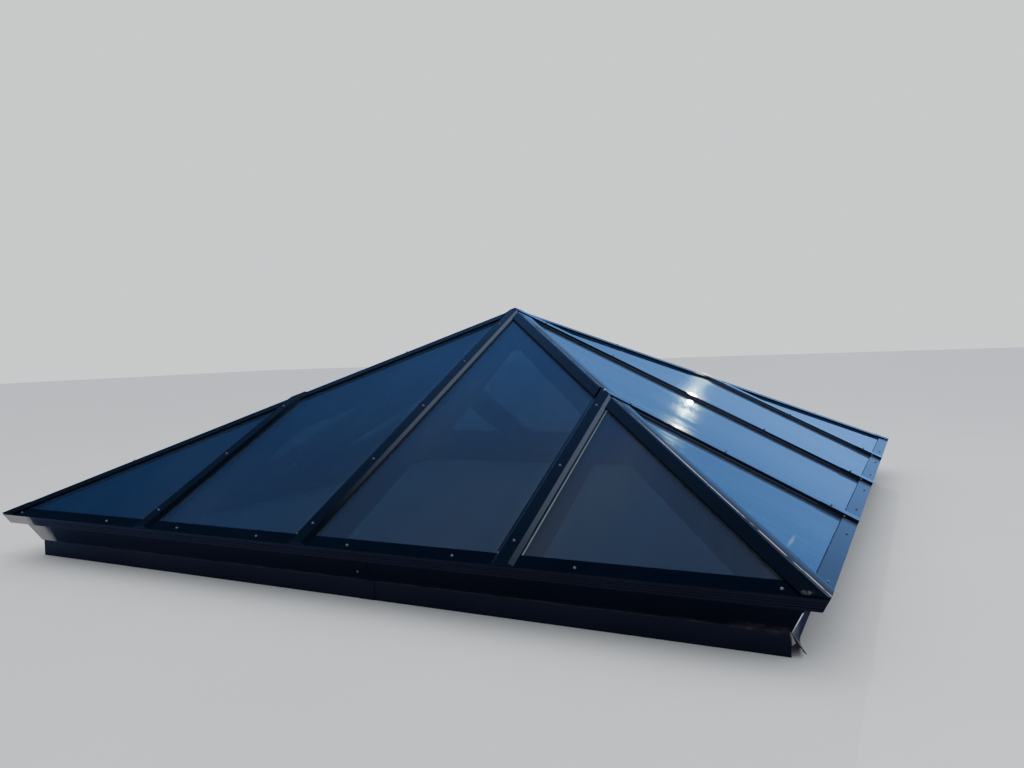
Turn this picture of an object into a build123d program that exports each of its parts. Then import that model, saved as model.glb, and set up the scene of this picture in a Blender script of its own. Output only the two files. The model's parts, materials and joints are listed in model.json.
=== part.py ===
"""Hipped skylight for a square roof curb.

Four equal glass slopes meet at an apex. Each slope has a common rafter on its centre line and a jack
rafter on each side of it, so it holds four panes. Lengths are in millimetres, +Z is up, and the origin
is the middle of the skylight at the hem of its skirts. Side 0 faces -Y; +X, +Y and -X follow as 1, 2
and 3. Hip 0 is the one between sides 0 and 1, and the other hips follow in the same order.

A place on a slope is (x, s, depth): x along the eave, s up the slope from the nose line, and depth down
into the slope, square to it, from the top of the sill caps.
"""

import os
from math import acos, atan, cos, hypot, radians, sin, sqrt, tan

from build123d import *

os.makedirs("parts", exist_ok=True)

# Form of the roof
rafter_pitch = 914.4
rise_per_run = 0.5
nose_height = 230.0
curb_lap = 80.0
curb_width = 89.0

# Glazing, from the top of the sill caps down
cap_plate = 3.0
outer_gasket = 4.0
lite = 6.0
air_space = 13.0
inner_gasket = 5.0
pane_edge_gap = 4.0
spacer_inset = 3.0
spacer_width = 12.0

# Screw race on the top of every bar: a tongue between the panes with a slot for the screws
race_width = 12.0
race_slot = 5.8
race_top = 12.0
slot_floor = 30.0

# Sill
nose_depth = 54.0
nose_wall = 3.0
flashing_setback = 41.0
curb_ledge = 6.0
sill_wall = 4.0
sill_body = 64.0
sill_race_s = 22.0
block_thickness = 6.0
seat_end_s = 77.0
sill_gutter_floor = 68.0
sill_gutter_lip = 62.0
groove_depths = (18.0, 28.0, 40.0)
groove_width = 2.5
groove_cut = 1.5
anchor_hole_radius = 4.5
anchor_edge = 13.0

# Rafters and hips
rafter_width = 50.0
rafter_bottom = 157.0
bar_wall = 4.0
hip_width = 60.0
hip_bottom = 178.0
gutter_width = 15.0
gutter_wall = 3.0
gutter_floor = 57.0
gutter_lip = 47.0
cope_gap = 0.6

# Apex hub
hub_sides = 8
hub_apothem = 116.0
hub_wall = 8.0
hub_drop = 14.0
hub_top_wall = 40.0

# Covers
sill_cap_width = 60.0
cover_top_width = 52.0
cover_height = 11.0
cover_splay = 16.0
cover_wall = 2.5
cover_flange = 7.0
hip_cover_wing = 60.0
hip_cover_rise = 6.5
hip_cover_plate = 3.0
hip_cover_lip = 4.0
ridge_flat = 12.0
cover_joint = 0.5
gasket_seen = 2.0
gasket_width = 15.0
inner_gasket_inset = 3.0
inner_gasket_width = 11.0
end_cover_sheet = 1.5
end_cover_length = 162.0
end_cover_gap = 0.3
hip_end_cover_length = 135.0
apex_cap_half = 28.0
apex_cap_sheet = 1.5

# Flashing
flashing_sheet = 2.0
flashing_head_gap = 2.0
lap_edge_x = 273.0
lap_length = 75.0
lap_step = 3.0

# The bent corner of the right side's skirt, and the torn tab beside it
fold_start = 4.0
fold_length = 180.0
fold_angle = 35.0
fold_clear = 0.15
fold_root_end = 4.5
tab_reach = 16.0
tab_tip = 34.0
tab_drop = 48.0

# Screws, with plain shanks in place of their threads
screw_head_sides = 6
screw_head_flats = 11.0
screw_head_height = 5.0
screw_shank_sides = 4
screw_shank_radius = 2.7
screw_hole_sides = 6
screw_hole_radius = 3.2
screw_reach = 28.0
middle_screw_x = 235.0
screw_before_jack = 209.4
screw_after_jack = 260.6
corner_screw_inset = 132.0
first_cover_screw = 115.0
cover_screw_pitch = 462.0
hip_screw_s = 660.0
flashing_screw_offset = 56.0
flashing_screw_lift = 44.0
flashing_screw_length = 16.0

# Setting blocks and rafter clips
block_length = 100.0
block_top = 8.0
block_share = 0.25
clip_leg = 40.0
clip_thickness = 4.0
clip_top = 75.0
clip_bottom = 150.0

# Sizes that follow. The top of the curb is measured up from the nose line. The sill's outer wall leans
# square to the slope and comes down on the curb just inside its edge, which sets the nose's overhang.
slope = atan(rise_per_run)
run = cos(slope)
rise = sin(slope)
curb_top = curb_lap - nose_height
wall_s = flashing_setback + flashing_sheet
nose_overhang = wall_s / run - curb_top * rise_per_run + curb_ledge
half_curb = 2 * rafter_pitch
half_nose = half_curb + nose_overhang
anchor_x = 1.5 * rafter_pitch
apex_height = nose_height + half_nose * rise_per_run
slope_length = half_nose / run
hip_lean = acos(run**2) / 2
hip_length = half_nose * sqrt(2 + rise_per_run**2)
hip_slant = sqrt(1 + run**2)

glass_depth = cap_plate + outer_gasket
inner_lite_depth = glass_depth + lite + air_space
pane_bottom = inner_lite_depth + lite
seat_depth = pane_bottom + inner_gasket

inner_s = wall_s + sill_body
pane_eave = sill_race_s + race_width / 2 + block_thickness
pane_side = race_width / 2 + pane_edge_gap
hip_cover_edge = hip_cover_wing - hip_cover_rise * tan(hip_lean)
cover_half = cover_top_width / 2 + cover_splay
flange_half = cover_half + cover_flange
crown_half = cover_half + cover_joint

side_names = ("front", "right", "back", "left")
hip_names = ("front_right", "back_right", "back_left", "front_left")
bay_names = ("left_corner", "left_middle", "right_middle", "right_corner")
rafter_lines = (-rafter_pitch, 0.0, rafter_pitch)


# Places and planes


def turned(side, x, y, z=0.0):
    """A point or direction given for the front, turned about the centre to another side."""
    return Vector(x, y, z).rotate(Axis.Z, 90 * side)


def slope_plane(side, depth=0.0):
    """A plane in a side's slope, depth below the top of its sill cap: x along the eave, y up the slope."""
    facing = turned(side, 0, -rise, run)
    start = turned(side, 0, -half_nose, nose_height) - facing * depth
    return Plane(origin=start, x_dir=turned(side, 1, 0), z_dir=facing)


def eave_plane(side, x=0.0):
    """The section across a side's eave at x: local x runs in from the nose line, local y is the height."""
    start = turned(side, x, -half_nose, nose_height)
    return Plane(origin=start, x_dir=turned(side, 0, 1), z_dir=turned(side, 1, 0))


def rafter_plane(side, x, s=0.0):
    """The section across a rafter at s: local x runs along the eave, and local y is the depth."""
    slope_of_side = slope_plane(side)
    start = slope_of_side.from_local_coords(Vector(x, s, 0))
    return Plane(origin=start, x_dir=slope_of_side.x_dir, z_dir=slope_of_side.y_dir)


def hip_plane(hip):
    """The section across a hip at the corner of the nose lines: local y is the depth below the ridge."""
    start = turned(hip, half_nose, -half_nose, nose_height)
    return Plane(origin=start, x_dir=turned(hip, 1, 1), z_dir=turned(hip, -1, 1, rise_per_run))


def spot(side, x, s, depth):
    """A plane that faces out of the slope at one place on it."""
    level = slope_plane(side, depth)
    return Plane(origin=level.from_local_coords(Vector(x, s, 0)), x_dir=level.x_dir, z_dir=level.z_dir)


def diagonal(hip, shift=0.0):
    """The upright plane through a hip, shifted towards the side after it."""
    outward = turned(hip, 1, 1).normalized()
    return Plane(origin=outward * shift, x_dir=turned(hip, -1, 1), z_dir=outward)


def square_cut(side, s):
    """The plane across a side's slope at s, square to the slope and facing up it."""
    slope_of_side = slope_plane(side)
    start = slope_of_side.from_local_coords(Vector(0, s, 0))
    return Plane(origin=start, x_dir=slope_of_side.x_dir, z_dir=slope_of_side.y_dir)


def mitre(side):
    """Cuts the piece being built at the two hips beside its side."""
    split(bisect_by=diagonal(side), keep=Keep.BOTTOM)
    split(bisect_by=diagonal(side - 1), keep=Keep.TOP)


def at_eave(s, depth):
    """A place of the eave's section, as the distance in from the nose line and the height above it."""
    return (s * run + depth * rise, s * rise - depth * run)


def dropped(s, height):
    """Where the line square to the slope at s comes down to a height below the nose line."""
    return at_eave(s, (s * rise - height) / run)


def at_bar(x, depth, lean):
    """A place of a bar's section, where lean is the fall of the glass on each side of its middle."""
    return (x, depth / cos(lean) + abs(x) * tan(lean))


def at_wing(e, depth, hand=1):
    """A place of a hip's section, e away from the ridge within the slope on one hand of it."""
    return (hand * (e * cos(hip_lean) - depth * sin(hip_lean)), e * sin(hip_lean) + depth * cos(hip_lean))


def off_hip(lateral, depth):
    """The distance from the hip within the slope, of what lies lateral from the hip's plane at a depth."""
    return lateral / cos(hip_lean) + depth * tan(hip_lean)


def beside_hip(s, e):
    """The x of the line that keeps e away from the right hip, at s."""
    return half_nose - e * hip_slant - s * run


def up_to_hip(x, e):
    """The s where a line up the slope at x comes within e of the nearer hip."""
    return (half_nose - e * hip_slant - abs(x)) / run


def bay_outline(bay, eave, side, hip):
    """The corners of a bay on its slope, kept eave, side and hip away from its sill, rafters and hip."""
    near = side if bay in (1, 2) else rafter_pitch + side
    if bay in (1, 2):
        far = rafter_pitch - side
        corners = [(near, eave), (far, eave), (far, up_to_hip(far, hip)), (near, up_to_hip(near, hip))]
    else:
        corners = [(near, eave), (beside_hip(eave, hip), eave), (near, up_to_hip(near, hip))]
    hand = 1 if bay > 1 else -1
    return [(hand * x, s) for x, s in corners]


def bar_section(width, bottom, lean):
    """The outline of a rafter or hip: the screw race, the glass seats, the gutters and the tube below."""
    half = width / 2
    gutter_end = half + gutter_width
    right = [
        at_bar(race_slot / 2, slot_floor, lean),
        at_bar(race_slot / 2, race_top, lean),
        at_bar(race_width / 2, race_top, lean),
        at_bar(race_width / 2, seat_depth, lean),
        at_bar(half, seat_depth, lean),
        at_bar(half, gutter_floor, lean),
        at_bar(gutter_end - gutter_wall, gutter_floor, lean),
        at_bar(gutter_end - gutter_wall, gutter_lip, lean),
        at_bar(gutter_end, gutter_lip, lean),
        at_bar(gutter_end, gutter_floor + gutter_wall, lean),
        at_bar(half, gutter_floor + gutter_wall, lean),
        (half, bottom),
    ]
    return right + [(-x, depth) for x, depth in reversed(right)]


def bar_chamber(width, bottom, lean):
    """The outline of the hollow inside a rafter or hip."""
    half = width / 2 - bar_wall
    top = at_bar(half, seat_depth + bar_wall, lean)[1]
    return [(-half, top), (half, top), (half, bottom - bar_wall), (-half, bottom - bar_wall)]


def keep_piece(piece, name):
    """Labels a finished piece and writes it under its own name."""
    piece.label = name
    export_step(piece, f"parts/{name}.step")


# Places of the screws, each a plane that faces out of the surface under the head


def sill_screws(side):
    """The row of screws along a sill cap, with one more near each corner."""
    row = [middle_screw_x, rafter_pitch - screw_before_jack, rafter_pitch + screw_after_jack]
    row.append(half_nose - corner_screw_inset)
    return [spot(side, hand * x, sill_race_s, 0) for hand in (-1, 1) for x in row]


def cover_screw_rows(x):
    """The distances up the slope of the screws on the rafter cover at x."""
    top_end = up_to_hip(x, 0) - first_cover_screw / 2
    count = int((top_end - first_cover_screw) // cover_screw_pitch) + 1
    return [first_cover_screw + n * cover_screw_pitch for n in range(count)]


def cover_screws(side):
    """The screws along the tops of a side's rafter covers; the lowest ones stand on the end covers."""
    places = []
    for x in rafter_lines:
        for n, s in enumerate(cover_screw_rows(x)):
            height = cover_height if n else cover_height + end_cover_sheet
            places.append(spot(side, x, s, -height))
    return places


def hip_screws(hip):
    """The screws on the flat of a hip's cover, one in each length."""
    section = hip_plane(hip)
    flat = at_bar(ridge_flat / 2, -hip_cover_rise, hip_lean)[1]
    crown = (half_nose - rafter_pitch) * hip_length / half_nose
    places = []
    for distance in (hip_screw_s, crown + hip_screw_s):
        start = section.from_local_coords(Vector(0, flat, distance))
        places.append(Plane(origin=start, x_dir=section.x_dir, z_dir=-section.y_dir))
    return places


def flashing_screw(side):
    """The screw through the lap of a side's flashing."""
    face = square_cut(side, flashing_setback - flashing_sheet)
    place = Vector(lap_edge_x - flashing_screw_offset, 0, 0)
    depth = (flashing_setback * rise - curb_top) / run - flashing_screw_lift
    start = face.from_local_coords(place) - slope_plane(side).z_dir * depth
    return Plane(origin=start, x_dir=face.x_dir, z_dir=-face.z_dir)


# The perimeter sill: nose, glass seat, gutter and a hollow body that leans square to the slope


def build_sill(side):
    race_low = sill_race_s - race_width / 2
    race_high = sill_race_s + race_width / 2
    rebate = curb_top + flashing_sheet
    foot_top = curb_top + sill_wall
    curb_inside = nose_overhang + curb_width
    gutter_under = sill_gutter_floor + sill_wall
    with BuildPart() as sill:
        with BuildSketch(eave_plane(side)):
            with BuildLine():
                Polyline(
                    at_eave(0, cap_plate),
                    at_eave(0, nose_depth),
                    at_eave(wall_s, nose_depth),
                    dropped(wall_s, rebate),
                    (nose_overhang, rebate),
                    (nose_overhang, curb_top),
                    (curb_inside, curb_top),
                    (curb_inside, foot_top),
                    dropped(inner_s, foot_top),
                    at_eave(inner_s, sill_gutter_lip),
                    at_eave(inner_s - sill_wall, sill_gutter_lip),
                    at_eave(inner_s - sill_wall, sill_gutter_floor),
                    at_eave(seat_end_s, sill_gutter_floor),
                    at_eave(seat_end_s, seat_depth),
                    at_eave(race_high, seat_depth),
                    at_eave(race_high, race_top),
                    at_eave(sill_race_s + race_slot / 2, race_top),
                    at_eave(sill_race_s + race_slot / 2, slot_floor),
                    at_eave(sill_race_s - race_slot / 2, slot_floor),
                    at_eave(sill_race_s - race_slot / 2, race_top),
                    at_eave(race_low, race_top),
                    at_eave(race_low, seat_depth),
                    at_eave(nose_wall, seat_depth),
                    at_eave(nose_wall, cap_plate),
                    close=True,
                )
            make_face()
            Polygon(
                at_eave(nose_wall, seat_depth + sill_wall),
                at_eave(wall_s, seat_depth + sill_wall),
                at_eave(wall_s, nose_depth - nose_wall),
                at_eave(nose_wall, nose_depth - nose_wall),
                align=None,
                mode=Mode.SUBTRACT,
            )
            Polygon(
                at_eave(wall_s + sill_wall, seat_depth + sill_wall),
                at_eave(seat_end_s - sill_wall, seat_depth + sill_wall),
                at_eave(seat_end_s - sill_wall, gutter_under),
                at_eave(inner_s - sill_wall, gutter_under),
                dropped(inner_s - sill_wall, foot_top),
                dropped(wall_s + sill_wall, foot_top),
                align=None,
                mode=Mode.SUBTRACT,
            )
            for depth in groove_depths:
                Polygon(
                    at_eave(0, depth),
                    at_eave(groove_cut, depth),
                    at_eave(groove_cut, depth + groove_width),
                    at_eave(0, depth + groove_width),
                    align=None,
                    mode=Mode.SUBTRACT,
                )
        extrude(amount=half_nose, both=True)
        mitre(side)
        foot = Plane(
            origin=turned(side, 0, -half_nose + curb_inside - anchor_edge, nose_height + curb_top),
            x_dir=turned(side, 1, 0),
            z_dir=(0, 0, 1),
        )
        with BuildSketch(foot):
            with Locations((-anchor_x, 0), (anchor_x, 0)):
                Circle(anchor_hole_radius)
        extrude(amount=sill_wall, mode=Mode.SUBTRACT)
        with BuildSketch(flashing_screw(side)):
            RegularPolygon(screw_hole_radius, screw_hole_sides)
        extrude(amount=-flashing_screw_length, mode=Mode.SUBTRACT)
    return sill.part


# Rafters, hips and the hub that they meet


def build_common_rafter(side):
    hub_face = Plane(origin=turned(side, 0, -hub_apothem), x_dir=turned(side, 1, 0), z_dir=turned(side, 0, -1))
    with BuildPart() as rafter:
        with BuildSketch(rafter_plane(side, 0, inner_s)):
            with BuildLine():
                Polyline(*bar_section(rafter_width, rafter_bottom, 0), close=True)
            make_face()
            Polygon(*bar_chamber(rafter_width, rafter_bottom, 0), align=None, mode=Mode.SUBTRACT)
        extrude(amount=slope_length)
        split(bisect_by=hub_face, keep=Keep.TOP)
    return rafter.part


def build_jack_rafter(side, hand):
    """hand is 1 for the jack that meets the side's right hip and -1 for the one that meets its left hip."""
    hip = side if hand > 0 else side - 1
    cheek = diagonal(hip, -hand * hip_width / 2)
    half = hip_width / 2
    gutter_end = half + gutter_width + cope_gap
    cope = [
        at_bar(half - cope_gap, gutter_lip - cope_gap, hip_lean),
        at_bar(gutter_end, gutter_lip - cope_gap, hip_lean),
        at_bar(gutter_end, gutter_floor + gutter_wall + cope_gap, hip_lean),
        at_bar(half - cope_gap, gutter_floor + gutter_wall + cope_gap, hip_lean),
    ]
    with BuildPart() as rafter:
        with BuildSketch(rafter_plane(side, hand * rafter_pitch, inner_s)):
            with BuildLine():
                Polyline(*bar_section(rafter_width, rafter_bottom, 0), close=True)
            make_face()
            Polygon(*bar_chamber(rafter_width, rafter_bottom, 0), align=None, mode=Mode.SUBTRACT)
        extrude(amount=slope_length)
        split(bisect_by=cheek, keep=Keep.BOTTOM if hand > 0 else Keep.TOP)
        with BuildSketch(hip_plane(hip)):
            Polygon(*[(-hand * x, depth) for x, depth in cope], align=None)
        extrude(amount=hip_length, mode=Mode.SUBTRACT)
    return rafter.part


def build_hip_rafter(hip):
    outward = turned(hip, 1, -1).normalized()
    hub_face = Plane(origin=outward * hub_apothem, x_dir=turned(hip, 1, 1), z_dir=outward)
    with BuildPart() as rafter:
        with BuildSketch(hip_plane(hip)):
            with BuildLine():
                Polyline(*bar_section(hip_width, hip_bottom, hip_lean), close=True)
            make_face()
            Polygon(*bar_chamber(hip_width, hip_bottom, hip_lean), align=None, mode=Mode.SUBTRACT)
        extrude(amount=hip_length)
        for side in (hip, hip + 1):
            split(bisect_by=square_cut(side, inner_s), keep=Keep.TOP)
        split(bisect_by=hub_face, keep=Keep.TOP)
    return rafter.part


def build_hub():
    """An eight-sided drum under the apex, whose top follows the seats of the four slopes."""
    rafter_foot = apex_height - hub_apothem * rise_per_run - rafter_bottom / run
    base = rafter_foot - hub_drop
    top = apex_height - seat_depth / run
    with BuildPart() as hub:
        with BuildSketch(Plane.XY.offset(base)):
            RegularPolygon(hub_apothem, hub_sides, major_radius=False, rotation=180 / hub_sides)
        extrude(amount=top - base)
        for side in range(4):
            split(bisect_by=slope_plane(side, seat_depth), keep=Keep.BOTTOM)
        with BuildSketch(Plane.XY.offset(base)):
            inside = hub_apothem - hub_wall
            RegularPolygon(inside, hub_sides, major_radius=False, rotation=180 / hub_sides)
        extrude(amount=top - hub_apothem * rise_per_run - hub_top_wall - base, mode=Mode.SUBTRACT)
    return hub.part


# Panes, their spacers and gaskets


def build_pane(side, bay):
    """An insulated pane: two lites of the same outline with the air space between them."""
    edge = off_hip(pane_side, pane_bottom)
    with BuildPart() as pane:
        for top in (glass_depth, inner_lite_depth):
            with BuildSketch(slope_plane(side, top + lite)):
                with BuildLine():
                    Polyline(*bay_outline(bay, pane_eave, pane_side, edge), close=True)
                make_face()
            extrude(amount=lite)
    return pane.part


def build_rings(outer, width, top, thickness):
    """A frame under every pane, width wide; outer is how far it keeps from the sill, rafters and hips."""
    inner = [edge + width for edge in outer]
    with BuildPart() as rings:
        for side in range(4):
            for bay in range(4):
                with BuildSketch(slope_plane(side, top + thickness)):
                    Polygon(*bay_outline(bay, *outer), align=None)
                    Polygon(*bay_outline(bay, *inner), align=None, mode=Mode.SUBTRACT)
                extrude(amount=thickness)
    return rings.part


# Covers


def build_sill_cap(side):
    with BuildPart() as cap:
        with BuildSketch(slope_plane(side, cap_plate)):
            Rectangle(2 * half_nose + 2 * cap_plate, sill_cap_width, align=(Align.CENTER, Align.MIN))
        extrude(amount=cap_plate)
        mitre(side)
        with BuildSketch(*sill_screws(side)):
            RegularPolygon(screw_hole_radius, screw_hole_sides)
        extrude(amount=-cap_plate, mode=Mode.SUBTRACT)
    return cap.part


def cheek_foot(wall):
    """How wide the foot of a cover's leaning cheek is, for a wall of this thickness."""
    return wall * hypot(cover_splay, cover_height) / cover_height


def cover_outline(base, height):
    """The outside of a low cover whose cheeks lean in from its foot; base is half its width there."""
    top = base - height * cover_splay / cover_height
    return [(-base, 0), (-top, -height), (top, -height), (base, 0)]


def cover_profile(base, height, wall):
    """The outline of a cover with leaning cheeks that is open below."""
    inside = cover_outline(base - cheek_foot(wall), height - wall)
    return cover_outline(base, height) + inside[::-1]


def build_rafter_cover(side, x):
    """A low cover from the nose to the hip, with flanges on the gaskets from the sill cap upwards."""
    start = end_cover_sheet + cover_joint
    root = cover_half - cheek_foot(cover_wall)
    clear = hip_cover_edge + cover_joint
    with BuildPart() as cover:
        with BuildSketch(rafter_plane(side, x, start)):
            with BuildLine():
                Polyline(*cover_profile(cover_half, cover_height, cover_wall), close=True)
            make_face()
        extrude(amount=slope_length + cover_height)
        with BuildSketch(slope_plane(side, cap_plate)):
            for hand in (-1, 1):
                inside = x + hand * root
                outside = x + hand * flange_half
                Polygon(
                    (inside, sill_cap_width + cover_joint),
                    (outside, sill_cap_width + cover_joint),
                    (outside, up_to_hip(outside, clear)),
                    (inside, up_to_hip(inside, clear)),
                    align=None,
                )
        extrude(amount=cap_plate)
        mitre(side)
        with BuildSketch(*[spot(side, x, s, -cover_height) for s in cover_screw_rows(x)]):
            RegularPolygon(screw_hole_radius, screw_hole_sides)
        extrude(amount=-cover_wall, mode=Mode.SUBTRACT)
    return cover.part


def build_end_cover(side, x):
    """The closed sleeve over the lower end of a rafter cover."""
    base = cover_half + end_cover_gap + cheek_foot(end_cover_sheet)
    height = cover_height + end_cover_sheet
    with BuildPart() as cover:
        with BuildSketch(rafter_plane(side, x)):
            with BuildLine():
                Polyline(*cover_profile(base, height, end_cover_sheet), close=True)
            make_face()
        extrude(amount=end_cover_length)
        with BuildSketch(rafter_plane(side, x)):
            Polygon(*cover_outline(base, height), align=None)
        extrude(amount=end_cover_sheet)
        with BuildSketch(spot(side, x, first_cover_screw, -height)):
            RegularPolygon(screw_hole_radius, screw_hole_sides)
        extrude(amount=-end_cover_sheet, mode=Mode.SUBTRACT)
    return cover.part


def hip_cover_section():
    """Half the outline of a hip cover, from the flat on its ridge to the lip at its edge and back."""
    flat = at_bar(ridge_flat / 2, -hip_cover_rise, hip_lean)[1]
    under = hip_cover_plate - hip_cover_rise
    bend = ridge_flat / 2 - hip_cover_plate * (1 / cos(hip_lean) - 1) / tan(hip_lean)
    right = [
        (ridge_flat / 2, flat),
        at_wing(hip_cover_edge, -hip_cover_rise),
        at_wing(hip_cover_edge, cap_plate),
        at_wing(hip_cover_edge - hip_cover_lip, cap_plate),
        at_wing(hip_cover_edge - hip_cover_lip, under),
        (bend, flat + hip_cover_plate),
    ]
    return right + [(-x, depth) for x, depth in reversed(right)]


def corner_box(hip, near, far):
    """The upright box in a corner of the plan, from near to far along both eaves."""
    middle = (near + far) / 2
    tall = 2 * apex_height
    centre = turned(hip, middle, -middle, nose_height)
    return Pos(*centre) * Box(far - near, far - near, tall, mode=Mode.PRIVATE)


def build_hip_cover(hip, near, far, holes):
    """A length of hip cover between two lines of the plan, notched over the sill caps below its lips."""
    beyond = 2 * half_nose
    with BuildPart() as cover:
        with BuildSketch(hip_plane(hip)):
            with BuildLine():
                Polyline(*hip_cover_section(), close=True)
            make_face()
        extrude(amount=hip_length + hip_cover_wing)
        for side in (hip, hip + 1):
            split(bisect_by=square_cut(side, 0), keep=Keep.TOP)
        add(corner_box(hip, near, beyond), mode=Mode.INTERSECT)
        if far < half_nose:
            add(corner_box(hip, far, beyond), mode=Mode.SUBTRACT)
        notch_top = sill_cap_width + cover_joint
        inside = hip_cover_edge + hip_cover_lip
        outside = hip_cover_edge - 2 * hip_cover_lip
        for side, hand in ((hip, 1), (hip + 1, -1)):
            with BuildSketch(slope_plane(side, cap_plate)):
                Polygon(
                    (hand * beside_hip(-cap_plate, inside), -cap_plate),
                    (hand * beside_hip(-cap_plate, outside), -cap_plate),
                    (hand * beside_hip(notch_top, outside), notch_top),
                    (hand * beside_hip(notch_top, inside), notch_top),
                    align=None,
                )
            extrude(amount=cap_plate, mode=Mode.SUBTRACT)
        with BuildSketch(*holes):
            RegularPolygon(screw_hole_radius, screw_hole_sides)
        extrude(amount=-hip_cover_plate, mode=Mode.SUBTRACT)
    return cover.part


def build_hip_end_cover(hip):
    """The plate over the lower end of a hip cover."""
    flat = at_bar(ridge_flat / 2, -hip_cover_rise, hip_lean)[1]
    bend = ridge_flat / 2 + end_cover_sheet * (1 / cos(hip_lean) - 1) / tan(hip_lean)
    top = hip_cover_rise + end_cover_sheet
    right = [
        (bend, flat - end_cover_sheet),
        at_wing(hip_cover_edge, -top),
        at_wing(hip_cover_edge, -hip_cover_rise),
        (ridge_flat / 2, flat),
    ]
    with BuildPart() as cover:
        with BuildSketch(hip_plane(hip)):
            with BuildLine():
                Polyline(*right, *[(-x, depth) for x, depth in reversed(right)], close=True)
            make_face()
        extrude(amount=hip_end_cover_length)
        for side in (hip, hip + 1):
            split(bisect_by=square_cut(side, 0), keep=Keep.TOP)
    return cover.part


def build_apex_wedge(side):
    """The quarter of the apex cap on one side, cut from a blank at the two hips."""
    lower = (half_nose - apex_cap_half + rise * cover_height) / run
    blank = 4 * apex_cap_half
    with BuildPart() as wedge:
        with BuildSketch(slope_plane(side, -cover_height)):
            with Locations((0, lower)):
                Rectangle(blank, blank, align=(Align.CENTER, Align.MIN))
        extrude(amount=apex_cap_sheet)
        mitre(side)
    return wedge.part


def build_apex_cap():
    """The small cap over the mitred tops of the common rafters' covers."""
    with BuildPart() as cap:
        for side in range(4):
            add(build_apex_wedge(side))
    return cap.part


# Flashing


def sheet_outline(lift):
    """The bent sheet's section: cove, ledge and skirt, moved out by lift where it laps over the next."""
    face = flashing_setback - lift
    back = face + flashing_sheet
    ledge = curb_top + flashing_sheet - lift
    skirt = nose_overhang - lift
    return [
        at_eave(face, nose_depth + flashing_head_gap),
        dropped(face, ledge - flashing_sheet),
        (skirt - flashing_sheet, ledge - flashing_sheet),
        (skirt - flashing_sheet, -nose_height),
        (skirt, -nose_height),
        (skirt, ledge),
        dropped(back, ledge),
        at_eave(back, nose_depth + flashing_head_gap),
    ]


def skirt_plane(side):
    """The outer face of a side's skirt, at the height of the curb's top."""
    start = turned(side, 0, -half_curb - flashing_sheet, curb_lap)
    return Plane(origin=start, x_dir=turned(side, 1, 0), z_dir=turned(side, 0, -1))


def build_flashing_left(side, bent):
    """The length that laps over its neighbour; bent is True where its skirt is folded out at the corner."""
    lap_start = lap_edge_x - lap_length
    skirt = skirt_plane(side)
    corner = fold_start - half_curb - flashing_sheet
    hinge_length = Vector(fold_length, -curb_lap).length
    along = Vector(fold_length, -curb_lap).normalized()
    across = Vector(-along.Y, along.X)
    free_corner = Vector(0, -curb_lap)
    fold_root = flashing_sheet * tan(radians(fold_angle / 2)) - fold_clear
    with BuildPart() as sheet:
        with BuildSketch(eave_plane(side, -half_nose)):
            with BuildLine():
                Polyline(*sheet_outline(0), close=True)
            make_face()
        extrude(amount=half_nose + lap_start + lap_step)
        with BuildSketch(eave_plane(side, lap_start)):
            Polygon(*sheet_outline(flashing_sheet), align=None)
        extrude(amount=lap_length)
        mitre(side)
        with BuildSketch(flashing_screw(side)):
            RegularPolygon(screw_hole_radius, screw_hole_sides)
        extrude(amount=-flashing_screw_length, mode=Mode.SUBTRACT)
        if bent:
            with BuildSketch(skirt):
                Polygon(
                    (corner, 0),
                    (corner - fold_start - flashing_sheet, 0),
                    (corner - fold_start - flashing_sheet, -curb_lap - flashing_sheet),
                    (corner, -curb_lap - flashing_sheet),
                    (corner + fold_length, -curb_lap),
                    align=None,
                )
            extrude(amount=-flashing_sheet, mode=Mode.SUBTRACT)
            up_sheet = skirt.x_dir * across.X + skirt.y_dir * across.Y
            facing = skirt.z_dir * cos(radians(fold_angle)) + up_sheet * sin(radians(fold_angle))
            hinge = Plane(
                origin=skirt.from_local_coords(Vector(corner, 0, 0)),
                x_dir=skirt.x_dir * along.X + skirt.y_dir * along.Y,
                z_dir=facing,
            )
            with BuildSketch(hinge):
                Polygon(
                    (fold_root, fold_root),
                    (fold_root, 0),
                    (free_corner.dot(along), free_corner.dot(across)),
                    (hinge_length - fold_root, 0),
                    (hinge_length - fold_root_end, fold_root),
                    align=None,
                )
            extrude(amount=-flashing_sheet)
            split(bisect_by=Plane.XY, keep=Keep.TOP)
    return sheet.part


def build_flashing_right(side, torn):
    """The length under the lap; torn is True where a tab of its skirt stands out past the corner."""
    start = lap_edge_x - lap_length + lap_step + cover_joint
    end = half_curb
    with BuildPart() as sheet:
        with BuildSketch(eave_plane(side, start)):
            with BuildLine():
                Polyline(*sheet_outline(0), close=True)
            make_face()
        extrude(amount=half_nose - start)
        mitre(side)
        with BuildSketch(flashing_screw(side)):
            RegularPolygon(screw_hole_radius, screw_hole_sides)
        extrude(amount=-flashing_screw_length, mode=Mode.SUBTRACT)
        if torn:
            with BuildSketch(skirt_plane(side)):
                Polygon(
                    (end - tab_reach, 0),
                    (end, 0),
                    (end + tab_reach, -tab_tip),
                    (end, -tab_drop),
                    (end - tab_reach, -tab_drop),
                    align=None,
                )
            extrude(amount=-flashing_sheet)
    return sheet.part


# Screws, setting blocks and clips


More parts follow.
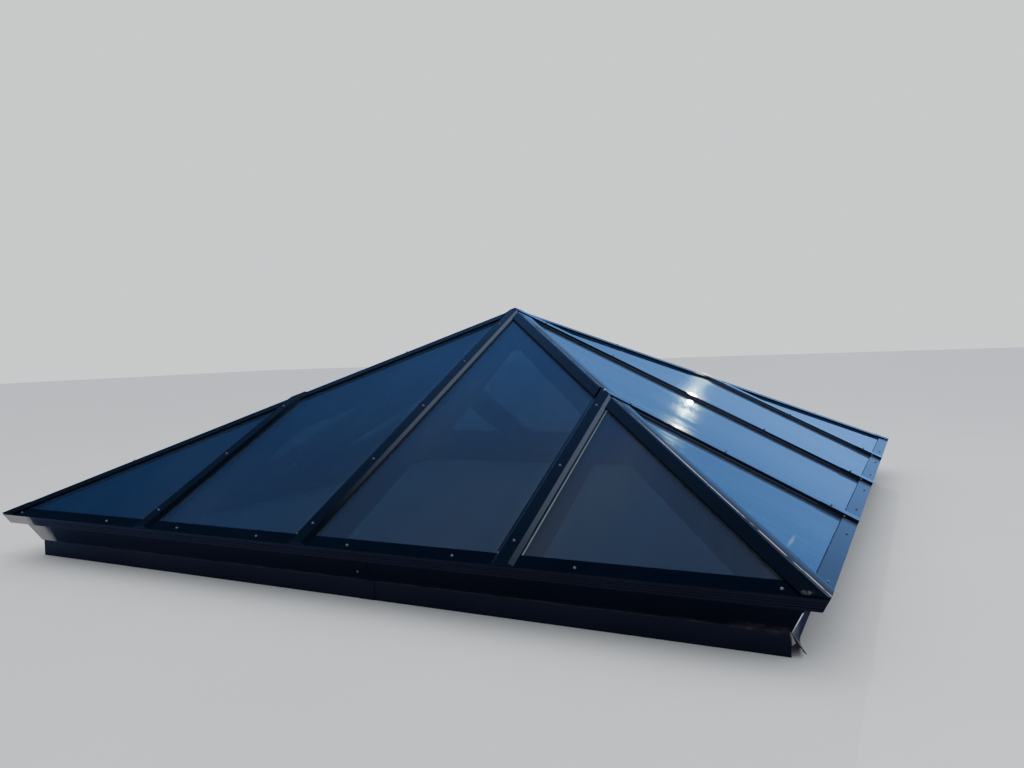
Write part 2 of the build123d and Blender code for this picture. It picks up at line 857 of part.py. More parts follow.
def build_screws():
    """Hexagon-headed screws; each group is its places and how far its shanks go in."""
    groups = [
        ([place for side in range(4) for place in sill_screws(side)], screw_reach),
        ([place for side in range(4) for place in cover_screws(side)], screw_reach + cover_height),
        ([place for hip in range(4) for place in hip_screws(hip)], screw_reach),
        ([flashing_screw(side) for side in range(4)], flashing_screw_length),
    ]
    with BuildPart() as screws:
        for places, reach in groups:
            with BuildSketch(*places):
                RegularPolygon(screw_head_flats / 2, screw_head_sides, major_radius=False)
            extrude(amount=screw_head_height)
            with BuildSketch(*places):
                RegularPolygon(screw_shank_radius, screw_shank_sides)
            extrude(amount=-reach)
    return screws.part


def build_setting_blocks():
    """Two blocks between the sill's screw race and the lower edge of each pane."""
    edge = off_hip(pane_side, pane_bottom)
    with BuildPart() as blocks:
        for side in range(4):
            with BuildSketch(slope_plane(side, seat_depth)):
                for bay in range(4):
                    eave_line = bay_outline(bay, pane_eave, pane_side, edge)[:2]
                    near, far = eave_line[0][0], eave_line[1][0]
                    for share in (block_share, 1 - block_share):
                        with Locations((near + (far - near) * share, pane_eave)):
                            Rectangle(block_length, block_thickness, align=(Align.CENTER, Align.MAX))
            extrude(amount=seat_depth - block_top)
    return blocks.part


def build_rafter_clips():
    """Angles that tie the foot of each common and jack rafter to the sill's inner wall."""
    with BuildPart() as clips:
        for side in range(4):
            with BuildSketch(slope_plane(side, clip_bottom)):
                for x in rafter_lines:
                    for hand in (-1, 1):
                        cheek = x + hand * rafter_width / 2
                        Polygon(
                            (cheek, inner_s),
                            (cheek + hand * clip_leg, inner_s),
                            (cheek + hand * clip_leg, inner_s + clip_thickness),
                            (cheek + hand * clip_thickness, inner_s + clip_thickness),
                            (cheek + hand * clip_thickness, inner_s + clip_leg),
                            (cheek, inner_s + clip_leg),
                            align=None,
                        )
            extrude(amount=clip_bottom - clip_top)
    return clips.part


# Building every piece

for side, name in enumerate(side_names):
    keep_piece(build_sill(side), f"sill_{name}")
    keep_piece(build_common_rafter(side), f"common_rafter_{name}")
    keep_piece(build_jack_rafter(side, -1), f"jack_rafter_{name}_left")
    keep_piece(build_jack_rafter(side, 1), f"jack_rafter_{name}_right")
    keep_piece(build_sill_cap(side), f"sill_cap_{name}")
    for bay, bay_name in enumerate(bay_names):
        keep_piece(build_pane(side, bay), f"pane_{name}_{bay_name}")
    covers = [build_rafter_cover(side, x) for x in rafter_lines]
    ends = [build_end_cover(side, x) for x in rafter_lines]
    keep_piece(Compound(children=covers + ends), f"rafter_covers_{name}")
    flashing = [build_flashing_left(side, name == "right"), build_flashing_right(side, name == "front")]
    keep_piece(Compound(children=flashing), f"flashing_{name}")

for hip, name in enumerate(hip_names):
    keep_piece(build_hip_rafter(hip), f"hip_rafter_{name}")
    low_screw, high_screw = hip_screws(hip)
    lower = build_hip_cover(hip, rafter_pitch + crown_half, half_nose, [low_screw])
    upper = build_hip_cover(hip, crown_half, rafter_pitch - crown_half, [high_screw])
    keep_piece(Compound(children=[lower, upper, build_hip_end_cover(hip)]), f"hip_covers_{name}")

keep_piece(build_hub(), "apex_hub")
keep_piece(build_apex_cap(), "apex_cap")

spacer_hip = off_hip(pane_side, pane_bottom) + spacer_inset
spacer_edges = (pane_eave + spacer_inset, pane_side + spacer_inset, spacer_hip)
keep_piece(build_rings(spacer_edges, spacer_width, glass_depth + lite, air_space), "pane_spacers")

outer_edges = [edge + gasket_seen - gasket_width for edge in (sill_cap_width, flange_half, hip_cover_edge)]
keep_piece(build_rings(outer_edges, gasket_width, cap_plate, outer_gasket), "outer_gaskets")

inner_eave = seat_end_s - inner_gasket_inset - inner_gasket_width
inner_side = rafter_width / 2 - inner_gasket_inset - inner_gasket_width
inner_hip = off_hip(hip_width / 2 - inner_gasket_inset, seat_depth) - inner_gasket_width
inner_edges = (inner_eave, inner_side, inner_hip)
keep_piece(build_rings(inner_edges, inner_gasket_width, pane_bottom, inner_gasket), "inner_gaskets")

keep_piece(build_screws(), "screws")
keep_piece(build_setting_blocks(), "setting_blocks")
keep_piece(build_rafter_clips(), "rafter_clips")
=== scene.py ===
# %% [markdown]
# # A hipped roof skylight
#
# The real object is a low glass pyramid, 3.9 m square, that lets daylight in from above. Dark
# painted aluminium covers hold its blue tinted panes down, and sheet flashing hangs below its
# eaves. The shapes that carry load come from the frame. This lesson gives them their finish, and
# adds the small things that catch light: rounded edges, screw heads, rubber lips and dust.

# %% Load the frame
import json
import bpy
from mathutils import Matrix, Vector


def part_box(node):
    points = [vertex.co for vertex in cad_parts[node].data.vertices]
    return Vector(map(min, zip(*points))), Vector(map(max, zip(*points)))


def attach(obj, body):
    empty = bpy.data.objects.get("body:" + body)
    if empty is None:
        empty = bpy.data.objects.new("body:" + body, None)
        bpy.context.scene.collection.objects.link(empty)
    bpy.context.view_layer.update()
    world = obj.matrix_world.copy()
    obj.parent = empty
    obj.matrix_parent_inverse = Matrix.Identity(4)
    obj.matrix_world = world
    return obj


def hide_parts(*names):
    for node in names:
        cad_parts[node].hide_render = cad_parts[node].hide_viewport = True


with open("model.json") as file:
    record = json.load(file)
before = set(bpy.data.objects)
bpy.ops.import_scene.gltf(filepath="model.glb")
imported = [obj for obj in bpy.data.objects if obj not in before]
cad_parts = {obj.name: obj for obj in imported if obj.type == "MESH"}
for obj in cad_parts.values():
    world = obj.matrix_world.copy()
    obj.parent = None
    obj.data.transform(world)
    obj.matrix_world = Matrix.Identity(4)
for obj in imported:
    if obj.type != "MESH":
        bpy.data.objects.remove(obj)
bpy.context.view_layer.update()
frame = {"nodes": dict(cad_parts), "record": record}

# %% The tools of this lesson
from math import atan, cos, radians, sin, sqrt

import bmesh
import bpy
import numpy as np
from mathutils import Matrix

# %% [markdown]
# ## Where things are
#
# The frame's sides look like one another after a quarter turn, so every place is worked out once,
# for the front, and then turned. A place on a slope is (x, s, depth): x along the eave, s up the
# slope from the nose line, and depth down into the glass, all in metres. Depth is negative above
# the sill caps.

# %% Places on the slopes
SLOPE = atan(0.5)
RUN, RISE = cos(SLOPE), sin(SLOPE)
NOSE_Z = 0.230
HALF_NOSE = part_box("sill_front")[1].x
BAY = 0.9144


def turn(points, side):
    """Turns points of the front by side quarter turns about the upright axis: (x, y) to (-y, x)."""
    c, s = [(1, 0), (0, 1), (-1, 0), (0, -1)][side % 4]
    return np.asarray(points, float) @ np.array([[c, s, 0], [-s, c, 0], [0, 0, 1]], float)


def on_slope(side, x, s, depth=0.0):
    """y = s run + depth rise - half nose, and z = nose + s rise - depth run, and then turned."""
    x, s, depth = np.broadcast_arrays(*[np.asarray(v, float) for v in (x, s, depth)])
    y = s * RUN + depth * RISE - HALF_NOSE
    return turn(np.stack([x, y, NOSE_Z + s * RISE - depth * RUN], axis=-1), side)


apex = on_slope(0, 0, HALF_NOSE / RUN)
print("half nose", round(HALF_NOSE, 4), "m, apex at", np.round(apex, 3))

# %% [markdown]
# ## Camera
#
# The photograph was taken from beside the near corner, a little above the eaves. Its perspective
# was solved from the pyramid's own edges, which gave the place, the aim and the focal length.
# An eye could aim it too, but a solved view puts every edge where the photograph has it.

# %% Camera
LENS, SENSOR = 27.93, 36.0
EYE = (2.2024, -4.2996, 0.9522)
YAW, PITCH, ROLL = radians(-27.55), radians(-2.29), radians(-2.13)

camera = bpy.data.objects.new("camera", bpy.data.cameras.new("camera"))
camera.data.lens = LENS
camera.data.sensor_width = SENSOR
ahead = np.array([sin(YAW) * cos(PITCH), cos(YAW) * cos(PITCH), sin(PITCH)])
level = np.array([cos(YAW), -sin(YAW), 0.0])
above = np.cross(level, ahead)
aside = cos(ROLL) * level + sin(ROLL) * above
above = cos(ROLL) * above - sin(ROLL) * level
aim = Matrix(np.stack([aside, above, -ahead], 1).tolist()).to_4x4()
camera.matrix_world = Matrix.Translation(EYE) @ aim
bpy.context.scene.collection.objects.link(camera)
bpy.context.scene.camera = camera
print("camera at", EYE, "looks along", np.round(ahead, 3))

# %% [markdown]
# ## Floor
#
# The object stands on a plain pale floor, wide enough for its edge to lie far behind everything.

# %% Floor
FLOOR_HALF = 60.0

outline = np.array([(-1, -1, 0), (1, -1, 0), (1, 1, 0), (-1, 1, 0)]) * FLOOR_HALF
floor_mesh = bpy.data.meshes.new("floor")
floor_mesh.from_pydata(outline.tolist(), [], [(0, 1, 2, 3)])
floor = bpy.data.objects.new("floor", floor_mesh)
bpy.context.scene.collection.objects.link(floor)
print("floor", 2 * FLOOR_HALF, "m square")

# %% [markdown]
# ## Lights
#
# A broad soft light hangs over the object and shows in no reflection. A low light stands behind
# it. One lamp could do both its jobs, but then the glint on the far glass burns out before the
# flashing gets light enough. So it is two lamps with one aim: the strong one only warms matt
# surfaces, and the weak one only glints.

# %% Lights
LOW_AIM = np.array([-0.0996, 0.9639, 0.2470])
LOW_ANGLE = radians(0.32)
LOW_PLACE, LOW_STRENGTH = (0, 8, 3), 1.3
GLINT_PLACE, GLINT_STRENGTH = (0, 8, 3.5), 0.11
GLINT_COLOUR = (1.0, 0.97, 0.92)
SOFT_PLACE, SOFT_AIM = (1.5, -1.0, 6.5), (0.15, -0.2, 1)
SOFT_SIZE, SOFT_STRENGTH = 7.0, 160.0


def aim_from(direction):
    """The turn that makes a light's own -Z run against a direction: x = up x z, and y = z x x."""
    z = np.asarray(direction, float) / np.linalg.norm(direction)
    x = np.cross((0, 0, 1), z)
    x = x / np.linalg.norm(x)
    return Matrix(np.stack([x, np.cross(z, x), z], 1).tolist()).to_4x4()


def add_light(name, kind, place, direction, **settings):
    """Adds one light that shines against direction."""
    light = bpy.data.lights.new(name, kind)
    for key, value in settings.items():
        setattr(light, key, value)
    holder = bpy.data.objects.new(name, light)
    holder.matrix_world = Matrix.Translation(place) @ aim_from(direction)
    bpy.context.scene.collection.objects.link(holder)
    return holder


low_light = add_light("low_light", "SUN", LOW_PLACE, LOW_AIM, energy=LOW_STRENGTH, angle=LOW_ANGLE)
low_light.visible_glossy = False
glint = add_light("glint", "SUN", GLINT_PLACE, LOW_AIM, energy=GLINT_STRENGTH, angle=LOW_ANGLE,
                  color=GLINT_COLOUR)
glint.visible_diffuse = False
soft_box = add_light("soft_box", "AREA", SOFT_PLACE, SOFT_AIM, energy=SOFT_STRENGTH,
                     size=SOFT_SIZE)
soft_box.visible_glossy = False
print("lights", [holder.name for holder in (low_light, glint, soft_box)])

# %% [markdown]
# ## Shader sums
#
# A material's pattern is easier to read as a sum than as a web of links. Shade wraps one socket.
# An operator on it adds a Math node, and node() adds any other kind.

# %% Shader sums
class Shade:
    """One output socket of a node tree. Its operators give new sockets."""

    def __init__(self, tree, socket=None):
        self.tree = tree
        self.socket = socket

    def node(self, kind, settings=None, sockets=None, output=0):
        """Adds a node: first its settings, or a ramp's stops, then its sockets' values or links."""
        node = self.tree.nodes.new(kind)
        for key, value in (settings or {}).items():
            if key == "stops":
                ramp = node.color_ramp
                while len(ramp.elements) < len(value):
                    ramp.elements.new(0.5)
                for element, (position, colour) in zip(ramp.elements, value):
                    element.position = position
                    element.color = (*colour, 1.0)
            else:
                setattr(node, key, value)
        for key, value in (sockets or {}).items():
            if isinstance(value, Shade):
                self.tree.links.new(value.socket, node.inputs[key])
            else:
                node.inputs[key].default_value = value
        return Shade(self.tree, node.outputs[output])

    def math(self, operation, first, second=0.0):
        """One Math node on two values."""
        return self.node("ShaderNodeMath", {"operation": operation}, {0: first, 1: second})

    # a + b, a * b and a - b, also where a is a plain number
    def __add__(self, other):
        return self.math("ADD", self, other)

    __radd__ = __add__

    def __mul__(self, other):
        return self.math("MULTIPLY", self, other)

    __rmul__ = __mul__

    def __sub__(self, other):
        return self.math("SUBTRACT", self, other)

    def __rsub__(self, other):
        return self.math("SUBTRACT", other, self)

    def size(self):
        """The value without its sign."""
        return self.math("ABSOLUTE", self)

    def between(self, low, high):
        """0 below low, 1 above high, and a smooth step from one to the other."""
        settings = {"interpolation_type": "SMOOTHSTEP", "clamp": True}
        sockets = {"Value": self, "From Min": low, "From Max": high}
        return self.node("ShaderNodeMapRange", settings, sockets)

    def part(self, axis):
        """One of the three parts of a vector."""
        return self.node("ShaderNodeSeparateXYZ", None, {0: self}, output=axis)

    def noise(self, scale, detail=3.0, roughness=0.5, stretch=(1, 1, 1)):
        """Noise at a place: a wrapped vector gives a value from 0 to 1 that averages a half."""
        place = self.node("ShaderNodeMapping", None, {"Vector": self, "Scale": stretch})
        sockets = {"Vector": place, "Scale": scale, "Detail": detail, "Roughness": roughness}
        return self.node("ShaderNodeTexNoise", None, sockets)

    def towards(self, direction):
        """A direction's cosine to another one: their dot product."""
        settings = {"operation": "DOT_PRODUCT"}
        return self.node("ShaderNodeVectorMath", settings, {0: self, 1: direction}, output=1)

    def blend(self, first, second):
        """Goes from the first colour to the second as the wrapped value goes from 0 to 1."""
        sockets = {0: self, 6: first, 7: second}
        return self.node("ShaderNodeMix", {"data_type": "RGBA"}, sockets, output=2)

    def mix(self, first, second):
        """Goes from the first shader to the second as the wrapped value goes from 0 to 1."""
        return self.node("ShaderNodeMixShader", None, {0: self, 1: first, 2: second})

    def bump(self, strength, distance):
        """The surface's normal, tilted as if the wrapped value were a height of up to distance."""
        sockets = {"Strength": strength, "Distance": distance, "Height": self}
        return self.node("ShaderNodeBump", None, sockets)


# %% [markdown]
# ## Where a material starts and ends
#
# Each material starts from the Object coordinates, which are the places in the frame itself, so a
# pattern runs on from one piece to the next. It ends in one shader at the output.

# %% Start and end of a material
def new_material(name):
    """An empty material; gives it, its tree's start, and the Object coordinates of a point."""
    material = bpy.data.materials.new(name)
    material.use_nodes = True
    material.node_tree.nodes.clear()
    start = Shade(material.node_tree)
    return material, start, start.node("ShaderNodeTexCoord", output=3)


def show(start, shader):
    """Links a shader to the material's output."""
    output = start.tree.nodes.new("ShaderNodeOutputMaterial")
    start.tree.links.new(shader.socket, output.inputs["Surface"])


def matt(start, colour):
    """A shader with no gloss, of one colour."""
    return start.node("ShaderNodeBsdfDiffuse", None, {"Color": colour})


def facing_up(start):
    """The upright part of the surface's normal: 1 faces up, 0 stands upright, -1 faces down."""
    return start.node("ShaderNodeNewGeometry", output=1).part(2)


# %% [markdown]
# ## Pieces from grids
#
# Every new piece is a closed surface over a grid of points: row after row of a profile, carried
# round an axis or along an outline. Blender's own cylinders and curves would do for some of it,
# but a grid gives every radius and every place at once. One function turns such grids into faces,
# and another makes the piece, hangs it on the root, and hides the CAD nodes it stands for.

# %% Pieces from grids
made = {}


def grid_faces(rows, columns, close_rows=True):
    """Quads between neighbours of a rows by columns grid whose columns close on themselves."""
    last = rows if close_rows else rows - 1
    r, c = np.meshgrid(np.arange(last), np.arange(columns), indexing="ij")
    r2, c2 = (r + 1) % rows, (c + 1) % columns
    quads = [r * columns + c, r * columns + c2, r2 * columns + c2, r2 * columns + c]
    return np.stack(quads, -1).reshape(-1, 4)


def make_piece(name, points, faces, slot, replaces=()):
    """Makes a mesh with its faces outwards, gives it its slot, and lets it stand for CAD nodes."""
    mesh = bpy.data.meshes.new(name)
    mesh.from_pydata(np.asarray(points).tolist(), [], faces)
    work = bmesh.new()
    work.from_mesh(mesh)
    bmesh.ops.recalc_face_normals(work, faces=work.faces)
    work.to_mesh(mesh)
    work.free()
    piece = bpy.data.objects.new(name, mesh)
    bpy.context.scene.collection.objects.link(piece)
    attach(piece, "root")
    if replaces:
        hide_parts(*replaces)
    made[name] = (piece, slot)
    return piece


# %% [markdown]
# ## Whole solids out of loose triangles
#
# Sheet and extrusions have small radii that catch the light as fine lines. The CAD keeps sharp
# edges, so each painted node gets a copy. A node is loose triangles of several solids that may
# touch, and its points may only be merged within a solid. Walking through the triangles, each
# edge opens when first met and closes when met again, and where none is open a solid ends.

# %% Whole solids out of loose triangles
MERGE_DIGITS = 6


def solids_of(node):
    """A node's points and triangles, with points merged within each closed solid only."""
    mesh = frame["nodes"][node].data
    places = np.empty(len(mesh.vertices) * 3)
    mesh.vertices.foreach_get("co", places)
    corners = np.empty(len(mesh.loops), int)
    mesh.loops.foreach_get("vertex_index", corners)
    places = np.round(places.reshape(-1, 3), MERGE_DIGITS)
    places, spot = np.unique(places, axis=0, return_inverse=True)
    triangles = spot.reshape(-1)[corners].reshape(-1, 3)
    whole = (triangles != np.roll(triangles, 1, axis=1)).all(axis=1)
    triangles = triangles[whole]
    # each edge's number, and how often it was met before
    ends = np.stack([triangles, np.roll(triangles, -1, axis=1)], -1).reshape(-1, 2)
    ends = np.sort(ends, axis=1)
    _, edge = np.unique(ends[:, 0] * len(places) + ends[:, 1], return_inverse=True)
    order = np.argsort(edge, kind="stable")
    first = np.r_[True, np.diff(edge[order]) > 0]
    start_of = np.maximum.accumulate(np.where(first, np.arange(len(edge)), 0))
    met = np.empty(len(edge), int)
    met[order] = np.arange(len(edge)) - start_of
    # a solid ends where as many edges have closed as opened
    still_open = np.cumsum(np.where(met % 2 == 0, 1, -1).reshape(-1, 3).sum(axis=1))
    solid = np.cumsum(np.r_[0, (still_open == 0)[:-1]])
    keys, index = np.unique(solid[:, None] * len(places) + triangles, return_inverse=True)
    return places[keys % len(places)], index.reshape(-1, 3), solid[-1] + 1


# %% [markdown]
# ## Rounded edges
#
# The flat triangles of each copy are joined, and a Bevel rounds the edges that are left. The CAD
# could round them too, but there they would only add faces that carry no load. The lowest points
# are kept a hair above the floor, so that a rounded edge stays in the CAD's box.

# %% Rounded edges
PAINTED = ("sill_paint", "cap_paint", "cover_paint", "hip_paint", "flashing_paint")
FLAT_ANGLE = radians(0.4)
EDGE_ANGLE = radians(14.0)
EDGE_RADIUS = 0.0007
EDGE_STEPS = 2
FLOOR_GAP = 0.0003


def rounded(node, slot):
    """A copy of a node with its flat faces joined and its edges rounded; gives its solids."""
    points, triangles, solids = solids_of(node)
    points[:, 2] = np.maximum(points[:, 2], FLOOR_GAP)
    piece = make_piece("rounded_" + node, points, triangles.tolist(), slot, [node])
    work = bmesh.new()
    work.from_mesh(piece.data)
    bmesh.ops.dissolve_limit(work, angle_limit=FLAT_ANGLE, verts=work.verts, edges=work.edges)
    work.to_mesh(piece.data)
    work.free()
    smooth = np.ones(len(piece.data.polygons), bool)
    piece.data.polygons.foreach_set("use_smooth", smooth)
    bevel = piece.modifiers.new("round", "BEVEL")
    bevel.width = EDGE_RADIUS
    bevel.segments = EDGE_STEPS
    bevel.limit_method = "ANGLE"
    bevel.angle_limit = EDGE_ANGLE
    bevel.use_clamp_overlap = False
    bevel.harden_normals = True
    return solids


slot_of = {row["node"]: row["material_slot"] for row in frame["record"]["subparts"]}
counts = {node: rounded(node, slot_of[node]) for node in frame["nodes"] if slot_of[node] in PAINTED}
print("rounded, with the solids of each", counts)

# %% [markdown]
# ## The bent corner
#
# At the near corner the skirt of the right side has been kicked outwards, and thin sheet never
# stays flat. Its few large triangles have no points to move, so they are divided first. A
# Subdivision Surface would divide the whole flashing, so only the flap's own edges are cut.

# %% The bent corner, divided
FLAP_LOW, FLAP_HIGH = np.array([1.8300, -1.85, -0.001]), np.array([1.90, -1.645, 0.0795])
FLAP_CUTS = 7


def flap_points(mesh):
    """A mesh's points, and True for each that lies in the box from FLAP_LOW to FLAP_HIGH."""
    points = np.empty(len(mesh.vertices) * 3)
    mesh.vertices.foreach_get("co", points)
    points = points.reshape(-1, 3)
    return points, ((points > FLAP_LOW) & (points < FLAP_HIGH)).all(axis=1)


def divide_flap(mesh):
    """Makes the flap's faces triangles, and cuts each of its edges into FLAP_CUTS + 1."""
    _, chosen = flap_points(mesh)
    ends = np.empty(len(mesh.edges) * 2, int)
    mesh.edges.foreach_get("vertices", ends)
    folded = set(np.flatnonzero(chosen[ends.reshape(-1, 2)].all(axis=1)).tolist())
    work = bmesh.new()
    work.from_mesh(mesh)
    edges = {edge for edge in work.edges if edge.index in folded}
    faces = [face for face in work.faces if edges.issuperset(face.edges)]
    cut = bmesh.ops.triangulate(work, faces=faces)
    edges = edges.union(*[face.edges for face in cut["faces"]])
    work.edges.index_update()
    edges = sorted(edges, key=lambda edge: edge.index)
    bmesh.ops.subdivide_edges(work, edges=edges, cuts=FLAP_CUTS, use_grid_fill=True)
    work.to_mesh(mesh)
    work.free()


flashing = made["rounded_flashing_right"][0].data
before = int(flap_points(flashing)[1].sum())
divide_flap(flashing)
print("points in the bent corner", before, "before and", int(flap_points(flashing)[1].sum()))

# %% [markdown]
# ## The bent corner, bowed
#
# Cloth or sculpting could bend the flap, but two sine waves are enough for so small a one. Its
# points are moved against its normal: most half way between the fold and the tip, where the sheet
# bows, with a ripple along the fold.

# %% The bent corner, bowed
FOLD_START = np.array([1.8308, -1.8268, 0.080])
FOLD_END = np.array([1.8308, -1.6468, 0.0])
FLAP_NORMAL = np.array([0.819, -0.233, 0.524])
FLAP_REACH = 0.072
FLAP_BOW, FLAP_RIPPLE, FLAP_WAVES = 0.009, 0.003, 9


def crumple(mesh):
    """Moves the flap by -(bow sin(pi h) + ripple h sin(waves w)), h from the fold, w along it."""
    points, chosen = flap_points(mesh)
    along = (FOLD_END - FOLD_START) / np.linalg.norm(FOLD_END - FOLD_START)
    w = (points - FOLD_START) @ along / FLAP_REACH
    height = np.linalg.norm(np.cross(points - FOLD_START, along), axis=1) / FLAP_REACH
    h = np.clip(height, 0, 1)
    bow = FLAP_BOW * np.sin(np.pi * h) + FLAP_RIPPLE * np.sin(FLAP_WAVES * w) * h
    points[chosen] -= bow[chosen, None] * FLAP_NORMAL
    points[:, 2] = np.maximum(points[:, 2], FLOOR_GAP)
    mesh.vertices.foreach_set("co", points.ravel())
    mesh.update()
    return bow[chosen].max()


print("the bent corner bows by up to", round(crumple(flashing), 4), "m")

# %% [markdown]
# ## Places and ways of the screws
#
# The covers are held by stainless hexagon screws: eight along each sill cap, a row down each
# cover, and two on each hip. A small one holds each end cover's cheek from the side, and one more
# holds the lap joint of each flashing. A screw needs a place, the way that its head points, and a
# way across its head.

# %% Places and ways of the screws
STRAIGHT, LEANING = (0.0, 1.0), (-0.567, 0.824)
HIP_SCREW, HIP_JOINT = 0.660, 1.5652
HIP_SCREWS = np.array([HIP_SCREW, HIP_JOINT + HIP_SCREW])
HIP_TOP = -0.004851
HIP_OUT = np.array([1, -1, 4]) / sqrt(18)
HIP_ALONG = np.array([-2, 2, 1]) / 3


def slope_frames(side, x, s, depth, lean=STRAIGHT):
    """Places on a slope, the way out (a, -b rise, b run) for a lean (a, b), and the way up it."""
    a, b = lean
    places = on_slope(side, x, s, depth)
    out, up = turn([a, -RISE * b, RUN * b], side), turn([0, RUN, RISE], side)
    return places, np.broadcast_to(out, places.shape), np.broadcast_to(up, places.shape)


def hip_frames(side):
    """Places corner + along x distance - out x depth on a hip, its way out and its way up."""
    corner = np.array([HALF_NOSE, -HALF_NOSE, NOSE_Z])
    places = corner + HIP_SCREWS[:, None] * HIP_ALONG - HIP_TOP * HIP_OUT
    ways = [np.broadcast_to(turn(way, side), places.shape) for way in (HIP_OUT, HIP_ALONG)]
    return [turn(places, side), *ways]


print("hip screws", HIP_SCREWS, "m up from the corner")

# %% [markdown]
# ## Where the screws stand
#
# The screws could be picked from the photograph one by one, but it shows only two sides. So each
# place is worked out from the slope, and the rows stay straight and evenly spaced all round.

# %% Where the screws stand
SILL_SCREW_X = np.array([0.235, 0.705, 1.175, HALF_NOSE - 0.132])
SILL_SCREW_S = 0.022
COVER_ROWS = ((-BAY, 3), (0.0, 5), (BAY, 3))
COVER_TOP, END_COVER_TOP = -0.011, -0.0125
FIRST_SCREW, SCREW_PITCH = 0.115, 0.462
CHEEK_ASIDE, CHEEK_S, CHEEK_DEPTH = -0.0386, 0.055, -0.0044
LAP_SCREW = (0.217, 0.039, 0.1442)

groups, cheek_groups = [], []
for side in range(4):
    groups.append(slope_frames(side, np.r_[-SILL_SCREW_X, SILL_SCREW_X], SILL_SCREW_S, 0.0))
    for x, count in COVER_ROWS:
        step = np.arange(count)
        depth = np.where(step == 0, END_COVER_TOP, COVER_TOP)
        groups.append(slope_frames(side, x, FIRST_SCREW + SCREW_PITCH * step, depth))
        cheek = slope_frames(side, np.array([x + CHEEK_ASIDE]), CHEEK_S, CHEEK_DEPTH, LEANING)
        cheek_groups.append(cheek)
    groups.append(hip_frames(side))
    groups.append([on_slope(side, *LAP_SCREW)[None], turn([[0, -RUN, -RISE]], side),
                   turn([[1, 0, 0]], side)])
print("places", sum(len(group[0]) for group in groups + cheek_groups))

# %% [markdown]
# ## Screws
#
# A screw is a hexagon head over a round washer. Both could be cylinders, but one profile of
# radius and height, turned round the screw's axis, makes them in one closed surface, because its
# round section turns into a hexagon between the washer and the top. Each screw is turned by its
# own angle, as a driver leaves it.

# %% Screws
SCREW_SIDES = 12
SCREW_SEED = 7
CHEEK_SCALE = 0.72
SCREW_PROFILE = np.array([
    # radius and height in mm, and how far the section is a hexagon
    (2.7, -24.0, 0), (2.7, 0.1, 0), (5.0, 0.1, 0), (5.2, 0.7, 0), (4.7, 1.1, 0),
    (3.9, 1.2, 1), (3.9, 4.2, 1), (3.4, 4.9, 1), (2.4, 5.0, 0), (2.0, 4.7, 0),
]) * (0.001, 0.001, 1)


def screws(name, parts, scale, replaces=()):
    """Turns the profile round each axis: on the hexagon, radius r / cos(angle from a flat)."""
    places, out, up = [np.concatenate([part[k] for part in parts]) for k in range(3)]
    angle = np.arange(SCREW_SIDES) * 2 * np.pi / SCREW_SIDES
    flat = 1 / np.cos((angle + np.pi / 6) % (np.pi / 3) - np.pi / 6)
    radius = SCREW_PROFILE[:, 0, None] * (1 + SCREW_PROFILE[:, 2, None] * (flat - 1)) * scale
    start = np.random.default_rng(SCREW_SEED).uniform(0, np.pi, len(places))
    twist = start[:, None] + angle
    aside = np.cross(up, out)
    ring = np.cos(twist)[..., None] * aside[:, None] + np.sin(twist)[..., None] * up[:, None]
    rise = (SCREW_PROFILE[:, 1] * scale)[None, :, None, None] * out[:, None, None]
    points = places[:, None, None] + ring[:, None] * radius[None, :, :, None] + rise
    # the side faces, and one face at each end of the profile
    rows, around = len(SCREW_PROFILE), np.arange(SCREW_SIDES)
    wall = grid_faces(rows, SCREW_SIDES, close_rows=False)
    ends = np.array([around[::-1], (rows - 1) * SCREW_SIDES + around])
    starts = np.arange(len(places)) * rows * SCREW_SIDES
    faces = (wall[None] + starts[:, None, None]).reshape(-1, 4).tolist()
    faces += (ends[None] + starts[:, None, None]).reshape(-1, SCREW_SIDES).tolist()
    make_piece(name, points.reshape(-1, 3), faces, "screw", replaces)
    return len(places)


print("screws", screws("turned_screws", groups, 1.0, ["screws"]), "and",
      screws("cheek_screws", cheek_groups, CHEEK_SCALE), "in the end covers' cheeks")

# %% [markdown]
# ## Openings of the glass
#
# A rubber strip lies under every cover edge, and 2 mm of it shows beside the glass. Its lip has a
# rounded edge and slants down to the glass, which catches a finer line of light than the flat
# strip of the CAD. It goes round each opening of the glass, and the four openings of one side are
# worked out from the covers' own edges.

# %% Openings of the glass
HIP_SLANT = sqrt(1 + RUN**2)
LIP_SHOWS = 0.002
LIP_EAVE, LIP_SIDE, LIP_HIP = 0.0608, 0.051, 0.0578255 + LIP_SHOWS


def opening(bay):
    """The corners of the glass that shows in a bay of the front, anticlockwise, as (x, s)."""
    reach = HALF_NOSE - LIP_HIP * HIP_SLANT
    if bay in (1, 2):
        near, far = LIP_SIDE, BAY - LIP_SIDE
        corners = [(near, LIP_EAVE), (far, LIP_EAVE),
                   (far, (reach - far) / RUN), (near, (reach - near) / RUN)]
    else:
        near = BAY + LIP_SIDE
        corners = [(near, LIP_EAVE), (reach - LIP_EAVE * RUN, LIP_EAVE),
                   (near, (reach - near) / RUN)]
    corners = np.array(corners)
    return corners if bay > 1 else (corners * (-1, 1))[::-1]


print("corners of each opening", [len(opening(bay)) for bay in range(4)])

# %% [markdown]
# ## Gasket lips
#
# A curve with a bevel could carry the lip's profile round an opening, but it would narrow at the
# sharp corners. Here each corner of the profile is moved along the mitre, so that every strip
# keeps its width.

# %% Gasket lips
LIP_PROFILE = np.array([
    # in from the visible edge, and depth, in mm
    (-15.0, 3.0), (-2.2, 3.0), (-1.9, 2.9), (-0.6, 2.95), (-0.2, 3.2),
    (0.0, 3.7), (0.4, 5.6), (1.0, 7.0), (-15.0, 7.0),
]) * 0.001


